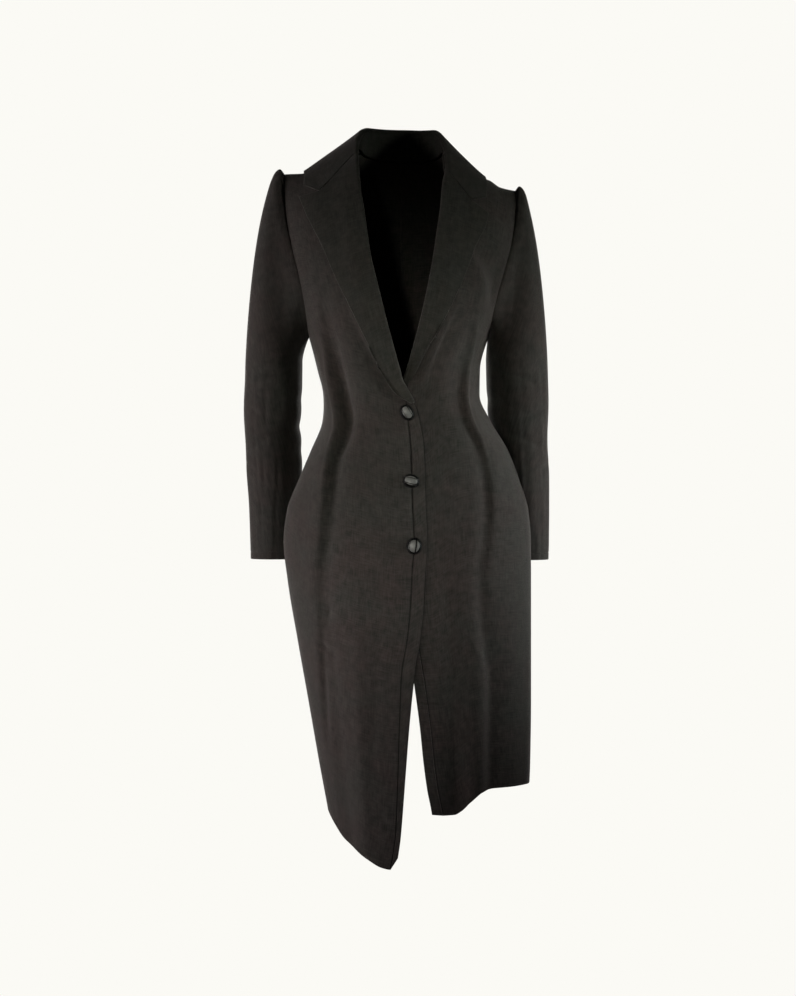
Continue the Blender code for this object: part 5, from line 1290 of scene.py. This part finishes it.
# Floor, backdrop and lights
# A plain pale floor that curves up all round into a plain pale wall. Soft lights stand at the sides, with
# weak narrow ones in front to fill in, and two more behind for the back.
FLOOR_HEIGHT, FLOOR_RADIUS = -1.34, 6.0
WALL_BEND, WALL_BEND_STEPS, WALL_HEIGHT = 1.5, 8, 5.0
PALE = bpy.data.materials.new("pale paper")
PALE.use_nodes = True
tree = PALE.node_tree
shader = tree.nodes["Principled BSDF"]
set_up(shader, {"Base Color": (0.10, 0.10, 0.095, 1.0), "Roughness": 1.0, "Specular IOR Level": 0.0})
shown = node(tree, "Emission", Strength=1.0, Color=(0.965, 0.956, 0.913, 1.0))
path = node(tree, "LightPath")
mix = node(tree, "MixShader")
join(tree, path, "Is Camera Ray", mix, 0)
join(tree, shader, 0, mix, 1)
join(tree, shown, 0, mix, 2)
join(tree, mix, 0, tree.nodes["Material Output"], "Surface")

bpy.ops.mesh.primitive_circle_add(vertices=96, radius=FLOOR_RADIUS, fill_type="NGON",
                                  location=(0, 0, FLOOR_HEIGHT))
bowl = bpy.context.object
bowl.name = "floor"
bpy.ops.object.mode_set(mode="EDIT")
bpy.ops.mesh.select_all(action="SELECT")
for step in range(1, WALL_BEND_STEPS + 1):
    turn = math.radians(90 * step / WALL_BEND_STEPS)
    last = math.radians(90 * (step - 1) / WALL_BEND_STEPS)
    rise = WALL_BEND * (math.cos(last) - math.cos(turn))
    bpy.ops.mesh.extrude_region_move(TRANSFORM_OT_translate={"value": (0, 0, rise)})
    wider = (FLOOR_RADIUS + WALL_BEND * math.sin(turn)) / (FLOOR_RADIUS + WALL_BEND * math.sin(last))
    bpy.ops.transform.resize(value=(wider, wider, 1))
bpy.ops.mesh.extrude_region_move(TRANSFORM_OT_translate={"value": (0, 0, WALL_HEIGHT)})
bpy.ops.mesh.delete(type="ONLY_FACE")
bpy.ops.object.mode_set(mode="OBJECT")
bpy.ops.object.transform_apply(location=True, rotation=True, scale=True)
bpy.ops.object.shade_smooth()
bowl.data.materials.append(PALE)

# Each light: name, azimuth, distance, set aside, height, aimed at height, its width and length, watts, fan in
# degrees, colour
LIGHTS = (
    ("light right", -76, 2.8, 0.00, -0.85, -0.80, 1.0, 0.7, 6.4, 60, (1.00, 0.93, 0.95)),
    ("light right above", -58, 3.0, 0.00, -0.20, -0.25, 0.6, 0.5, 0.55, 24, (1.00, 0.97, 0.93)),
    ("light front", -12, 3.0, 0.00, -0.45, -0.48, 0.25, 0.6, 0.26, 10, (0.98, 1.00, 0.90)),
    ("light front low", -30, 3.0, -0.08, -0.85, -0.80, 0.3, 0.5, 0.17, 7, (1.00, 0.93, 0.95)),
    ("light left", 80, 2.2, 0.00, -0.50, -0.53, 0.8, 0.4, 1.7, 26, (0.96, 1.00, 1.00)),
    ("light left above", 60, 2.4, 0.12, 0.10, -0.20, 0.4, 0.5, 0.36, 18, (0.95, 1.00, 0.90)),
    ("light far right", -102, 2.8, 0.00, -0.30, -0.30, 0.8, 0.8, 1.8, 60, (1.00, 0.95, 0.97)),
    ("light far left", 100, 2.2, 0.00, -0.30, -0.30, 0.8, 0.8, 0.7, 60, (1.00, 0.97, 0.97)),
    ("light back right", -160, 4.2, 0.00, 0.00, -0.50, 1.5, 2.0, 85, 180, (1.00, 0.98, 0.95)),
    ("light back left", 160, 4.2, 0.00, 0.00, -0.50, 1.5, 2.0, 85, 180, (1.00, 0.98, 0.95)),
)
for name, azimuth, distance, aside, height, aim, wide, tall, power, fan, colour in LIGHTS:
    light = bpy.data.lights.new(name, "AREA")
    light.shape = "RECTANGLE"
    light.size, light.size_y = wide, tall
    light.energy = power
    light.color = colour
    light.spread = math.radians(fan)
    holder = bpy.data.objects.new(name, light)
    bpy.context.scene.collection.objects.link(holder)
    turn = math.radians(azimuth)
    spot = (math.sin(turn) * distance + aside, -math.cos(turn) * distance, height)
    tilt = math.radians(90) - math.atan2(height - aim, distance)
    holder.matrix_world = (Matrix.Translation(spot) @ Matrix.Rotation(turn, 4, "Z")
                           @ Matrix.Rotation(tilt, 4, "X"))
    holder.visible_camera = False

world = bpy.data.worlds.new("room")
bpy.context.scene.world = world
world.use_nodes = True
set_up(world.node_tree.nodes["Background"], {"Color": (1.0, 0.99, 0.97, 1.0), "Strength": 0.02})
bpy.context.scene.view_settings.view_transform = "Standard"

# The photograph's view: straight on, from 3 m in front of the shoulder line
camera = bpy.data.objects.new("camera", bpy.data.cameras.new("camera"))
bpy.context.scene.collection.objects.link(camera)
camera.location = (-0.0047, -3.0, -0.502)
camera.rotation_euler = (math.pi / 2, 0, 0)
camera.data.sensor_width = 36.0
camera.data.lens = 68.6
bpy.context.scene.camera = camera
